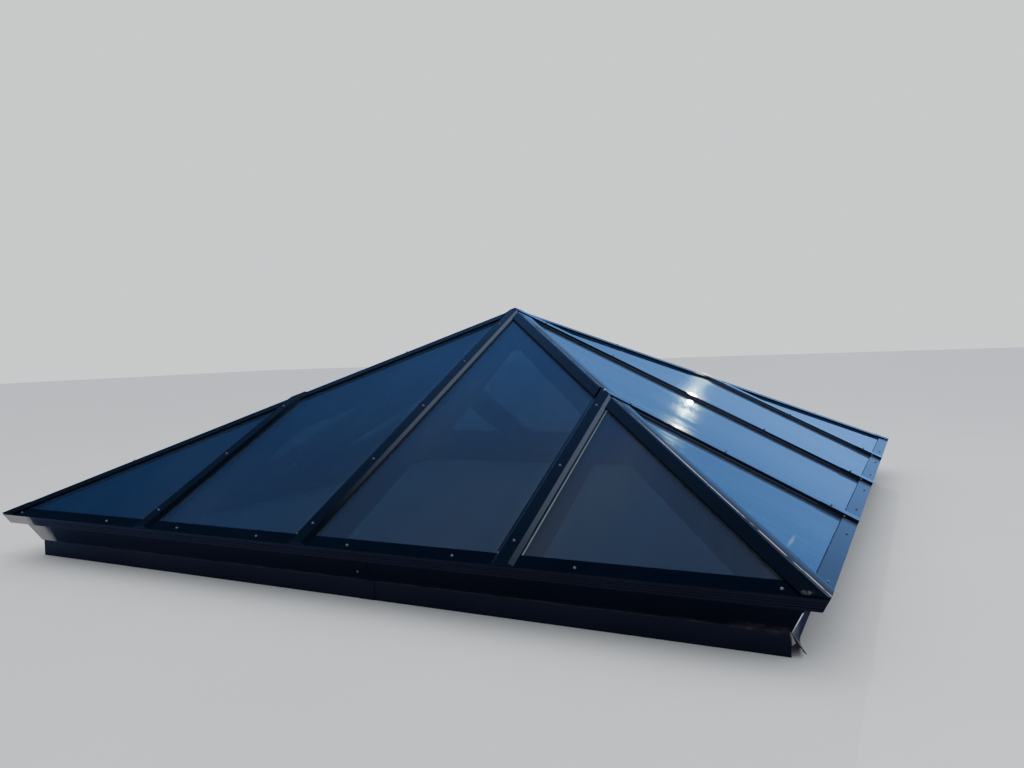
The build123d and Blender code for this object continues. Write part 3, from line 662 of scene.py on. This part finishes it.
def lip_strip(side, bay):
    """The profile carried round an opening: corner + in x mitre, mitre = (a + b) / (1 + a.b)."""
    corners = opening(bay)
    run_in = corners - np.roll(corners, 1, axis=0)
    run_in /= np.linalg.norm(run_in, axis=1, keepdims=True)
    a = np.stack([-run_in[:, 1], run_in[:, 0]], 1)
    b = np.roll(a, -1, axis=0)
    mitre = (a + b) / (1 + (a * b).sum(axis=1, keepdims=True))
    flat = corners[:, None] + mitre[:, None] * LIP_PROFILE[None, :, 0, None]
    depth = np.broadcast_to(LIP_PROFILE[:, 1], flat.shape[:2])
    return on_slope(side, flat[..., 0], flat[..., 1], depth)


points, faces, count = [], [], 0
for side in range(4):
    for bay in range(4):
        strip = lip_strip(side, bay)
        faces += (grid_faces(*strip.shape[:2]) + count).tolist()
        points.append(strip.reshape(-1, 3))
        count += len(points[-1])
points = np.concatenate(points)
make_piece("gasket_lips", points, faces, "outer_gasket", ["outer_gaskets"])

# %% [markdown]
# ## Surroundings
#
# The background and the light of the studio are plain and pale. Only what gloss paint and glass
# mirror is a blue dome: palest towards the low light, deeper blue with the angle from it, a
# little brighter near the horizon, and with one bright soft patch high up behind, which the
# right-hand cheeks of the front covers mirror. A blue studio would colour the floor as well, so
# the Light Path node keeps the dome for reflections alone.

# %% Surroundings
BACKDROP = (1.10, 1.12, 1.15, 1.0)
DOME_POWER = 2.0
DOME_STOPS = [
    # half of 1 + the cosine to the low light, and the colour there
    (0.50, (0.004, 0.008, 0.018)), (0.70, (0.010, 0.024, 0.055)), (0.78, (0.018, 0.045, 0.11)),
    (0.87, (0.05, 0.10, 0.24)), (0.94, (0.103, 0.222, 0.52)), (1.0, (0.122, 0.30, 0.71)),
]
HORIZON_EDGES = (0.12, 0.30)
PATCH_AIM, PATCH_EDGES = (0.2215, 0.4975, 0.8387), (0.935, 0.992)
PATCH_COLOUR, PATCH_POWER = (0.72, 0.86, 1.25, 1.0), 2.1

world = bpy.data.worlds.new("studio")
bpy.context.scene.world = world
world.use_nodes = True
world.node_tree.nodes.clear()
studio = Shade(world.node_tree)


def backdrop(colour, power):
    """Light of one colour from far away."""
    return studio.node("ShaderNodeBackground", None, {"Color": colour, "Strength": power})


direction = studio.node("ShaderNodeTexCoord", output=0)
cosine = direction.towards(tuple(LOW_AIM))
dome = studio.node("ShaderNodeValToRGB", {"stops": DOME_STOPS}, {0: cosine * 0.5 + 0.5})
low = 1 - direction.part(2).between(*HORIZON_EDGES)
mirrored = direction.towards(PATCH_AIM).between(*PATCH_EDGES).mix(
    backdrop(dome, (low * 0.5 + 1) * DOME_POWER), backdrop(PATCH_COLOUR, PATCH_POWER))
in_gloss = studio.node("ShaderNodeLightPath", output=3)
both = in_gloss.mix(backdrop(BACKDROP, 1.0), mirrored)
output = world.node_tree.nodes.new("ShaderNodeOutputWorld")
world.node_tree.links.new(both.socket, output.inputs["Surface"])
print("studio nodes", len(world.node_tree.nodes))

# %% [markdown]
# ## Floor finish
#
# The floor is pale to the eye and to soft light. Gloss mirrors it as a deep blue, a painted
# shade, so that the eaves, which look down at it, stay nearly black.

# %% Floor finish
FLOOR_TONES = (0.60, 0.62, 0.64, 1), (0.66, 0.68, 0.70, 1)
# as gloss sees it, the floor is a painted shade of deep blue
FLOOR_MIRRORED_SHADE = (0.100, 0.130, 0.270, 1)

material, start, place = new_material("pale_floor")
pale = start.node("ShaderNodeBsdfPrincipled", None, {
    "Base Color": place.noise(1.2, detail=4.0).blend(*FLOOR_TONES),
    "Roughness": 0.8, "Specular IOR Level": 0.2,
})
in_gloss = start.node("ShaderNodeLightPath", output=3)
show(start, in_gloss.mix(pale, matt(start, FLOOR_MIRRORED_SHADE)))
floor.data.materials.append(material)
print("floor finish", material.name)

# %% [markdown]
# ## Patterns that follow the slopes
#
# Rain runs down a slope, and so do its marks. All four sides share one pattern: along measures a
# place along its own eave, and a streak is noise that is fine along the eave and drawn out with
# the height. A mark that stands in one place only is cut out by a patch.

# %% Patterns that follow the slopes
FRONT_EDGES = (-2.5, -1.5)
PATCH_CORE = 0.35


def eave_place(start, place):
    """The place as (along the eave, height, side), a side's number kept apart by whole metres."""
    x, y, z = place.part(0), place.part(1), place.part(2)
    beside = start.math("GREATER_THAN", x.size(), y.size())
    along = x + (y - x) * beside
    # -3 on the front, 3 on the back, 4 on the left and 10 on the right
    apart = beside * 7 + start.math("SIGN", x + y) * 3
    return start.node("ShaderNodeCombineXYZ", None, {0: along, 1: z, 2: apart})


def front_only(eave):
    """1 on the front, 0 on the other sides, from the side's number in eave_place."""
    return 1 - eave.part(2).between(*FRONT_EDGES)


def patch(start, place, centre, size):
    """1 near a centre and 0 beyond size from it, each direction with its own size."""
    moved = start.node("ShaderNodeVectorMath", {"operation": "SUBTRACT"}, {0: place, 1: centre})
    scaled = start.node("ShaderNodeVectorMath", {"operation": "DIVIDE"}, {0: moved, 1: size})
    length = start.node("ShaderNodeVectorMath", {"operation": "LENGTH"}, {0: scaled}, output=1)
    return 1 - length.between(PATCH_CORE, 1.0)


# %% [markdown]
# ## Painted aluminium
#
# The covers, caps, sills and flashing have a factory coat of gloss paint, nearly black. From a
# step away it shows a faint unevenness that bends what it mirrors, thin dust in patches, and
# water marks. The colour is dark, so most of what is seen comes from the gloss. The wear of one
# kind of piece, and the painted light and shade that some kinds carry, is a function of its own.
# It gets the colour and the roughness and gives them back changed, with the share and the colour
# of a dull film where there is one.

# %% Painted aluminium
DUST = (0.23, 0.215, 0.20, 1)
DUST_ROUGHENS, STREAK_ROUGHENS = 0.4, 0.06
PAINT_IOR = 1.5
WAVE_HEIGHT = 0.004


def paint(name, dark, light, roughness, gloss, dust, wear_and_light=None, waviness=0.25):
    """Gloss paint: two dark tones, dust in patches on what faces up, streaks, faint waves."""
    material, start, place = new_material(name)
    eave = eave_place(start, place)
    tone = place.noise(2.3, detail=5.0, roughness=0.6).between(0.3, 0.7)
    streak = eave.noise(34.0, detail=4.0, stretch=(1.0, 0.12, 1.0))
    up = facing_up(start).between(0.1, 0.9)
    patches = place.noise(3.2, detail=7.0, roughness=0.72).between(0.55, 0.86)
    specks = place.noise(160.0, detail=2.0).between(0.66, 0.78)
    film = up * patches * dust + up * specks * dust * 0.25
    colour = film.blend(tone.blend((*dark, 1), (*light, 1)), DUST)
    rough = roughness + film * DUST_ROUGHENS + (streak - 0.5) * STREAK_ROUGHENS
    dull = None
    if wear_and_light:
        colour, rough, dull = wear_and_light(start, place, colour, rough)
    wave = place.noise(3.5, detail=2.0) + streak * 0.02
    coat = start.node("ShaderNodeBsdfPrincipled", None, {
        "Base Color": colour, "Roughness": rough, "Normal": wave.bump(waviness, WAVE_HEIGHT),
        "IOR": PAINT_IOR, "Specular IOR Level": gloss,
    })
    if dull:
        share, dull_colour = dull
        coat = share.mix(coat, matt(start, dull_colour))
    show(start, coat)
    return material


# %% [markdown]
# ## Wear and a painted highlight on the hips
#
# A hip cover is bent along its length, and along that bend a painted highlight is laid on as
# bright rubbed metal, with gaps. On the right half a thin brown film has settled on the slope
# beside it, and the near corner is scuffed. A painted texture could hold all this, but the
# distance across the hip draws the line as finely as it is looked at, and on every hip alike.

# %% Wear and a painted highlight on the hips
RIDGE_BEND = 0.006
HIGHLIGHT_RUB_EDGES, BEND_EDGES = (0.0008, 0.0022), (0.0015, 0.0035)
# the painted highlight on the bend, as rubbed metal
RUBBED_HIGHLIGHT, FILM_BROWN = (0.90, 0.90, 0.88, 1), (0.034, 0.030, 0.036, 1)
SCUFF_PLACE, SCUFF_SIZE = (1.898, -1.951, 0.242), (0.024, 0.014, 0.012)
SCUFFED = (0.40, 0.40, 0.42, 1)


def worn_and_highlit_ridge(start, place, colour, rough):
    """By the distance across the hip, (|x| - |y|) / sqrt 2: painted bend highlight, film, scuff."""
    x, z = place.part(0), place.part(2)
    across = (x.size() - place.part(1).size()) * sqrt(0.5)
    from_bend = (across - RIDGE_BEND).size()
    gaps = place.noise(9.0, detail=4.0).between(0.36, 0.48) * (1 - z.between(0.50, 0.68) * 0.75)
    # a painted highlight along the bend, laid on as rubbed metal with gaps
    rub_highlight = (1 - from_bend.between(*HIGHLIGHT_RUB_EDGES)) * gaps
    film = across.between(0.004, 0.008) * (1 - across.between(0.018, 0.055))
    film = film * (place.noise(4.0, detail=4.0) * 0.7 + 0.5) * x.between(0.0, 0.3)
    scuff = patch(start, place, SCUFF_PLACE, SCUFF_SIZE)
    scuff = scuff * place.noise(90.0, detail=4.0).between(0.40, 0.66)
    colour = (scuff * 0.14).blend(colour, SCUFFED)
    colour = (rub_highlight * 0.9).blend(colour, RUBBED_HIGHLIGHT)
    bend = 1 - from_bend.between(*BEND_EDGES)
    return colour, rough + bend * 0.45, (film * 0.9, FILM_BROWN)


# %% [markdown]
# ## Painted highlights on the covers, and dust on the caps
#
# Two pale strokes where the near jack cover meets the hip, and a pale tip at the top of the
# pyramid, are painted highlights, laid on as bare metal. Each is a patch with a place and a size
# of its own. The sill cap of the right side lies under thin dust, which takes some of the blue out
# of what it mirrors. Dust in the base colour alone would look like brown paint, so it is a share
# of a matt shader.

# %% Painted highlights on the covers, and dust on the caps
# painted highlights: two strokes by the crown and the tip, laid on as bare metal
HIGHLIGHT_MARKS = (((0.8585, -0.8945, 0.774), (0.007, 0.036, 0.022)),
         ((0.9062, -0.895, 0.7735), (0.005, 0.042, 0.022)))
TIP_PLACE, TIP_SIZE = (0.022, -0.004, 1.214), (0.036, 0.024, 0.016)
PAINTED_GLINT_METAL = (0.36, 0.36, 0.37, 1)
CAP_EDGES = (0.0, 0.004)
CAP_DUST, CAP_SHARE = (0.050, 0.036, 0.044, 1), 0.30


def crown_highlights(start, place, colour, rough):
    """Painted highlights, as bare metal, in three patches: 0.7 of the two strokes, 0.6 of the tip.
    """
    first, second = [patch(start, place, *mark) for mark in HIGHLIGHT_MARKS]
    bare_highlight = (first + second) * 0.7 + patch(start, place, TIP_PLACE, TIP_SIZE) * 0.6
    return bare_highlight.blend(colour, PAINTED_GLINT_METAL), rough + bare_highlight * 0.3, None


def right_film(start, place, colour, rough):
    """A dull film on the right side only, where x + y and x - y are both above 0."""
    x, y = place.part(0), place.part(1)
    film = (x + y).between(*CAP_EDGES) * (x - y).between(*CAP_EDGES)
    return colour, rough + film * 0.10, (film * CAP_SHARE, CAP_DUST)


# %% [markdown]
# ## Wear, painted shade and painted light on the eaves
#
# The left end of the front eave carries a painted reflection: a pale grey, brushed up and down
# where it fades out. The hollow below the sill is painted nearly black where it faces down, as
# painted shade. Dirt has run along the fold under it, and the near corner's edge carries a
# painted highlight, laid on as bare metal, with a pale patch beside it. All of these follow the
# places of the folds.

# %% Wear, painted shade and painted light on the eaves
# painted reflection: the pale left end of the front eave
REFLECTION_END, REFLECTION_SOFT = -1.735, 0.03
REFLECTION_COLOUR = (0.36, 0.34, 0.325, 1)
# painted shade for the hollow where it faces down
COVE_PAINTED_SHADE = (0.0005, 0.0009, 0.0026, 1)
CREASE_Z, CREASE_EDGES = 0.079, (0.001, 0.009)
SMUDGE_PLACE, SMUDGE_SIZE = (1.745, -1.838, 0.082), (0.17, 0.05, 0.026)
DIRT_BROWN = (0.13, 0.095, 0.105, 1)
BESIDE_PLACE, BESIDE_SIZE = (1.860, -1.840, 0.110), (0.14, 0.30, 0.16)
BESIDE_PALE = (0.21, 0.205, 0.215, 1)
# a painted highlight on the near corner's edge, as bare metal
CORNER_PLACE, CORNER_SIZE = (1.885, -1.885, 0.120), (0.11, 0.11, 0.10)
CORNER_HIGHLIGHT_METAL, MITRE_EDGES = (0.80, 0.80, 0.80, 1), (0.0022, 0.0045)


def left_end_reflection(start, place, colour, rough):
    """A painted reflection, pale from the left end to a set end: end x front x height, with noise.
    """
    x, y = place.part(0), place.part(1)
    brushed = place.noise(60.0, detail=2.0, stretch=(1.0, 0.1, 0.1))
    end = x + (brushed - 0.5) * 0.10
    end = 1 - end.between(REFLECTION_END - REFLECTION_SOFT, REFLECTION_END + REFLECTION_SOFT)
    front = (1 - (y - x).between(-0.012, 0.0)) * place.part(2).between(0.078, 0.084)
    tone = end * front * (place.noise(9.0, detail=4.0) * 0.6 + 0.6) * 0.9
    return tone.blend(colour, REFLECTION_COLOUR), rough + tone * 0.3, None


def dusty_shaded_cove(start, place, colour, rough):
    """Painted shade in the hollow, dirt at the fold, reflection, pale patch, corner highlight."""
    x, y, z = place.part(0), place.part(1), place.part(2)
    # painted shade: the hollow darkens to nearly black where it faces down
    colour = facing_up(start).between(-0.50, -0.10).blend(COVE_PAINTED_SHADE, colour)
    smudge = patch(start, place, SMUDGE_PLACE, SMUDGE_SIZE)
    smudge = smudge * place.noise(22.0, detail=6.0).between(0.35, 0.75)
    line = 1 - (z - CREASE_Z + (place.noise(5.0) - 0.5) * 0.006).size().between(*CREASE_EDGES)
    line = line * place.noise(11.0, detail=5.0, roughness=0.65).between(0.30, 0.72)
    colour = (line * 0.16 + smudge * 0.14).blend(colour, DIRT_BROWN)
    colour, rough, _ = left_end_reflection(start, place, colour, rough)
    beside = (x + y).between(0.0, 0.003) * patch(start, place, BESIDE_PLACE, BESIDE_SIZE)
    colour = (beside * 0.8).blend(colour, BESIDE_PALE)
    # a painted highlight along the near corner's mitre edge, laid on as bare metal
    mitre = 1 - (x.size() - y.size()).size().between(*MITRE_EDGES)
    bare_highlight = mitre * patch(start, place, CORNER_PLACE, CORNER_SIZE)
    bare_highlight = bare_highlight * place.noise(40.0, detail=3.0).between(0.3, 0.5) * 0.9
    return bare_highlight.blend(colour, CORNER_HIGHLIGHT_METAL), rough + smudge * 0.2, None


# %% [markdown]
# ## One paint for each kind of piece
#
# The kinds of piece differ a little: the sills and the flashing are duller than the covers, and
# the hips mirror best. So one function serves them all, and a table holds what differs. The bars
# under the glass are a plain satin.

# %% One paint for each kind of piece
PAINTS = {
    # slot: name, dark tone, light tone, roughness, gloss, dust, wear and painted light, waviness
    "sill_paint": ("sill_gloss", (0.0030, 0.0040, 0.0075), (0.0044, 0.0054, 0.0105),
                   0.20, 0.40, 0.01, left_end_reflection, 0.25),
    "cap_paint": ("cap_gloss", (0.0006, 0.0010, 0.0035), (0.0012, 0.0020, 0.0060),
                  0.07, 0.24, 0.008, right_film, 0.25),
    "cover_paint": ("cover_gloss", (0.0012, 0.0020, 0.0048), (0.0020, 0.0032, 0.0070),
                    0.08, 0.38, 0.02, crown_highlights, 0.25),
    "hip_paint": ("hip_gloss", (0.0014, 0.0018, 0.0040), (0.0024, 0.0030, 0.0058),
                  0.05, 0.28, 0.02, worn_and_highlit_ridge, 0.08),
    "flashing_paint": ("flashing_satin", (0.0036, 0.0048, 0.0105), (0.0056, 0.0068, 0.0140),
                       0.22, 0.40, 0.03, dusty_shaded_cove, 0.25),
    "bar_paint": ("bar_satin", (0.010, 0.012, 0.018), (0.016, 0.018, 0.025),
                  0.42, 0.3, 0.0, None, 0.25),
}
FINISHES = {slot: paint(*row) for slot, row in PAINTS.items()}
print("paints", [material.name for material in FINISHES.values()])

# %% [markdown]
# ## Tinted glass: what passes through
#
# Each pane is two blue tinted lites with air between. Light that is not mirrored loses colour
# once a lite. A Glass shader would also bend it at every face, which thin panes hardly do and
# which takes long to render, so a Transparent shader lets it straight through. A thin film of
# dirt adds a blue veil, greyer where the film is thick. Low down on the near part of the front it
# is greyer still, as painted light that stands for what shows through the glass, and there is one
# pale streak by the near corner. The veil is counted where light enters a lite.

# %% Tinted glass: what passes through
LITE_TINT, NO_TINT = (0.405, 0.487, 0.560, 1.0), (1, 1, 1, 1)
VEIL_SHARE, FILM_SHARE, PALE_STREAK_SHARE = 0.17, 0.06, 0.25
VEIL_BLUE, VEIL_GREY_DIRT_AND_LIGHT = (0.036, 0.090, 0.27, 1), (0.090, 0.100, 0.140, 1)
PALE_STREAK_PLACE, PALE_STREAK_SIZE = (1.8026, -1.599, 0.2995), (0.009, 0.12, 0.006)
PALE_STREAK_COLOUR = (0.20, 0.34, 0.43, 1)


def glass_body(start, place, eave, streak, leaves):
    """Clear glass under a veil, whose share is even + film + pale streak, and 0 where light leaves.
    """
    film = eave.noise(3.0, detail=5.0, stretch=(1.0, 0.5, 1.0)).between(0.42, 0.8)
    pale_streak = patch(start, place, PALE_STREAK_PLACE, PALE_STREAK_SIZE) * streak.between(0.2, 0.4)
    # painted light: greyer low on the near front, for what shows through the glass
    near = place.part(0).between(-1.5, 0.9) * (1 - place.part(2).between(0.35, 1.0))
    grime_and_painted_light = film * 0.3 + near * front_only(eave) * 0.8
    veil = grime_and_painted_light.mix(matt(start, VEIL_BLUE), matt(start, VEIL_GREY_DIRT_AND_LIGHT))
    veil = pale_streak.mix(veil, matt(start, PALE_STREAK_COLOUR))
    tinted, clear = [start.node("ShaderNodeBsdfTransparent", None, {"Color": tint})
                     for tint in (LITE_TINT, NO_TINT)]
    hazy = (1 - leaves) * (film * FILM_SHARE + VEIL_SHARE + pale_streak * PALE_STREAK_SHARE)
    return hazy.mix(leaves.mix(tinted, clear), veil)


# %% [markdown]
# ## Tinted glass: what is mirrored
#
# Rain marks run down the slope. On them the mirror is a little blurred, so the low light glints
# in streaks there and stays small between them. Dirt that gathers along the covers blurs it more,
# which draws the glint out into a line beside each cover.

# %% Tinted glass: what is mirrored
STREAK_SHARE = 0.30
DIRT_REACH, DIRT_GAP = 0.030, 0.004
SHARP = {"Color": (0.8, 0.8, 0.8, 1), "Roughness": 0.010}
STREAKED = {"Color": (0.60, 0.97, 1.0, 1), "Roughness": 0.15}
DUSTY = {"Color": (0.95, 0.98, 1.0, 1), "Roughness": 0.17}


def glass_mirror(start, eave, normal):
    """Sharp, softer in rain marks by their share, and dusty from the lip to DIRT_REACH beyond."""
    marks = eave.noise(38.0, detail=3.0, stretch=(1.0, 0.05, 1.0)).between(0.50, 0.62)
    sharp, soft = [start.node("ShaderNodeBsdfAnisotropic", None, {**finish, "Normal": normal})
                   for finish in (SHARP, STREAKED)]
    dusty = start.node("ShaderNodeBsdfAnisotropic", None, DUSTY)
    # the distance from the nearest cover's middle, below 0 on its left
    sockets = {0: eave.part(0), 1: BAY / 2, 2: -BAY / 2}
    aside = start.node("ShaderNodeMath", {"operation": "WRAP"}, sockets)
    beside = aside.between(-LIP_SIDE - DIRT_REACH, -LIP_SIDE - DIRT_GAP)
    beside = beside * (1 - aside.between(0.0, 0.001))
    return beside.mix((marks * STREAK_SHARE).mix(sharp, soft), dusty)


# %% [markdown]
# ## Tinted glass: the two together
#
# At the steep angle of the far slope a pane acts as a mirror, and looked at squarely it lets a
# dim blue through. The share that is mirrored grows with the angle, as Fresnel's rule says, and
# is counted only where light enters a lite, because a second mirror on the way out would make
# every pane too bright. The panes are very slightly wavy.

# %% Tinted glass: the two together
GLASS_IOR = 1.62
GLASS_WAVE = (0.10, 0.004)


def tinted_glass():
    """Glass: the mirror's share by angle, over a body that is part veil and part blue clear."""
    material, start, place = new_material("tinted_glass")
    eave = eave_place(start, place)
    leaves = start.node("ShaderNodeNewGeometry", output=6)
    streak = eave.noise(11.0, detail=5.0, roughness=0.6, stretch=(1.0, 0.22, 1.0))
    normal = (place.noise(1.3, detail=1.0) + streak * 0.015).bump(*GLASS_WAVE)
    fresnel = start.node("ShaderNodeFresnel", None, {"IOR": GLASS_IOR, "Normal": normal})
    body = glass_body(start, place, eave, streak, leaves)
    show(start, (fresnel * (1 - leaves)).mix(body, glass_mirror(start, eave, normal)))
    return material


FINISHES["glass"] = tinted_glass()
print("glass nodes", len(FINISHES["glass"].node_tree.nodes))

# %% [markdown]
# ## Rubber with a painted highlight
#
# On the outer side of the front's jack covers the outer lips carry a painted highlight, a pale
# grey that reads as a pale line along the corner panes. Elsewhere they are black. One material
# with a mask does both, so that all lips stay one piece.

# %% Rubber with a painted highlight
RUBBER_TONES = (0.010, 0.015, 0.019, 1), (0.022, 0.029, 0.034, 1)
# the painted highlight on the lips beside the front's jack covers
RUBBER_HIGHLIGHT = (0.17, 0.22, 0.235, 1)
RUBBER_HIGHLIGHT_EDGES = (0.0025, 0.0045)


def lip_rubber():
    """Black, and a painted pale highlight where | |along| - bay - lip | is small on the front."""
    material, start, place = new_material("highlit_rubber")
    tone = place.noise(40.0, detail=4.0).between(0.3, 0.7)
    eave = eave_place(start, place)
    from_lip = (eave.part(0).size() - BAY - LIP_SIDE).size()
    highlit_side = front_only(eave) * (1 - from_lip.between(*RUBBER_HIGHLIGHT_EDGES))
    show(start, start.node("ShaderNodeBsdfPrincipled", None, {
        "Base Color": (highlit_side * 0.9).blend(tone.blend(*RUBBER_TONES), RUBBER_HIGHLIGHT),
        "Roughness": tone * 0.1 + 0.70, "Specular IOR Level": 0.08,
    }))
    return material


FINISHES["outer_gasket"] = lip_rubber()
print("lips", FINISHES["outer_gasket"].name)

# %% [markdown]
# ## Black rubber, mill aluminium and stainless steel
#
# What lies under the glass is black rubber and unpainted aluminium, and the screws are stainless.
# They are small or lie in the dark, so one function makes each a finish of two near tones, with
# a fine grain on the screws and a coarser one elsewhere.

# %% Black rubber, mill aluminium and stainless steel
PLAIN = {
    # slot: name, dark tone, light tone, roughness, metallic, noise per metre
    "inner_gasket": ("black_rubber", (0.012, 0.012, 0.013), (0.022, 0.022, 0.024), 0.6, 0.0, 40.0),
    "spacer": ("spacer_metal", (0.42, 0.43, 0.45), (0.52, 0.53, 0.55), 0.38, 1.0, 40.0),
    "clip": ("mill_metal", (0.40, 0.41, 0.43), (0.50, 0.51, 0.53), 0.42, 1.0, 60.0),
    "screw": ("stainless", (0.32, 0.33, 0.35), (0.44, 0.45, 0.48), 0.30, 0.8, 400.0),
}
GRAIN_BUMP = (0.2, 0.0005)
GRAIN_ROUGHENS = 0.15


def plain_finish(name, dark, light, roughness, metallic, scale):
    """A finish of two near tones: colour, roughness and bump follow one noise."""
    material, start, place = new_material(name)
    tone = place.noise(scale, detail=4.0)
    show(start, start.node("ShaderNodeBsdfPrincipled", None, {
        "Base Color": tone.between(0.3, 0.7).blend((*dark, 1), (*light, 1)),
        "Roughness": roughness + (tone - 0.5) * GRAIN_ROUGHENS, "Metallic": metallic,
        "Normal": tone.bump(*GRAIN_BUMP),
    }))
    return material


FINISHES.update({slot: plain_finish(*row) for slot, row in PLAIN.items()})
FINISHES["block"] = FINISHES["inner_gasket"]
print("plain finishes", [row[0] for row in PLAIN.values()])

# %% [markdown]
# ## The finishes put on
#
# Each node of the frame, and each piece made here, gets the finish of its own slot, so that the
# record and the looks agree. The setting blocks share the black rubber.

# %% The finishes put on
for node_name, node in frame["nodes"].items():
    node.data.materials.clear()
    node.data.materials.append(FINISHES[slot_of[node_name]])
for piece, slot in made.values():
    piece.data.materials.append(FINISHES[slot])
print("finishes", len(FINISHES), "for", len(slot_of), "nodes and", len(made), "pieces")
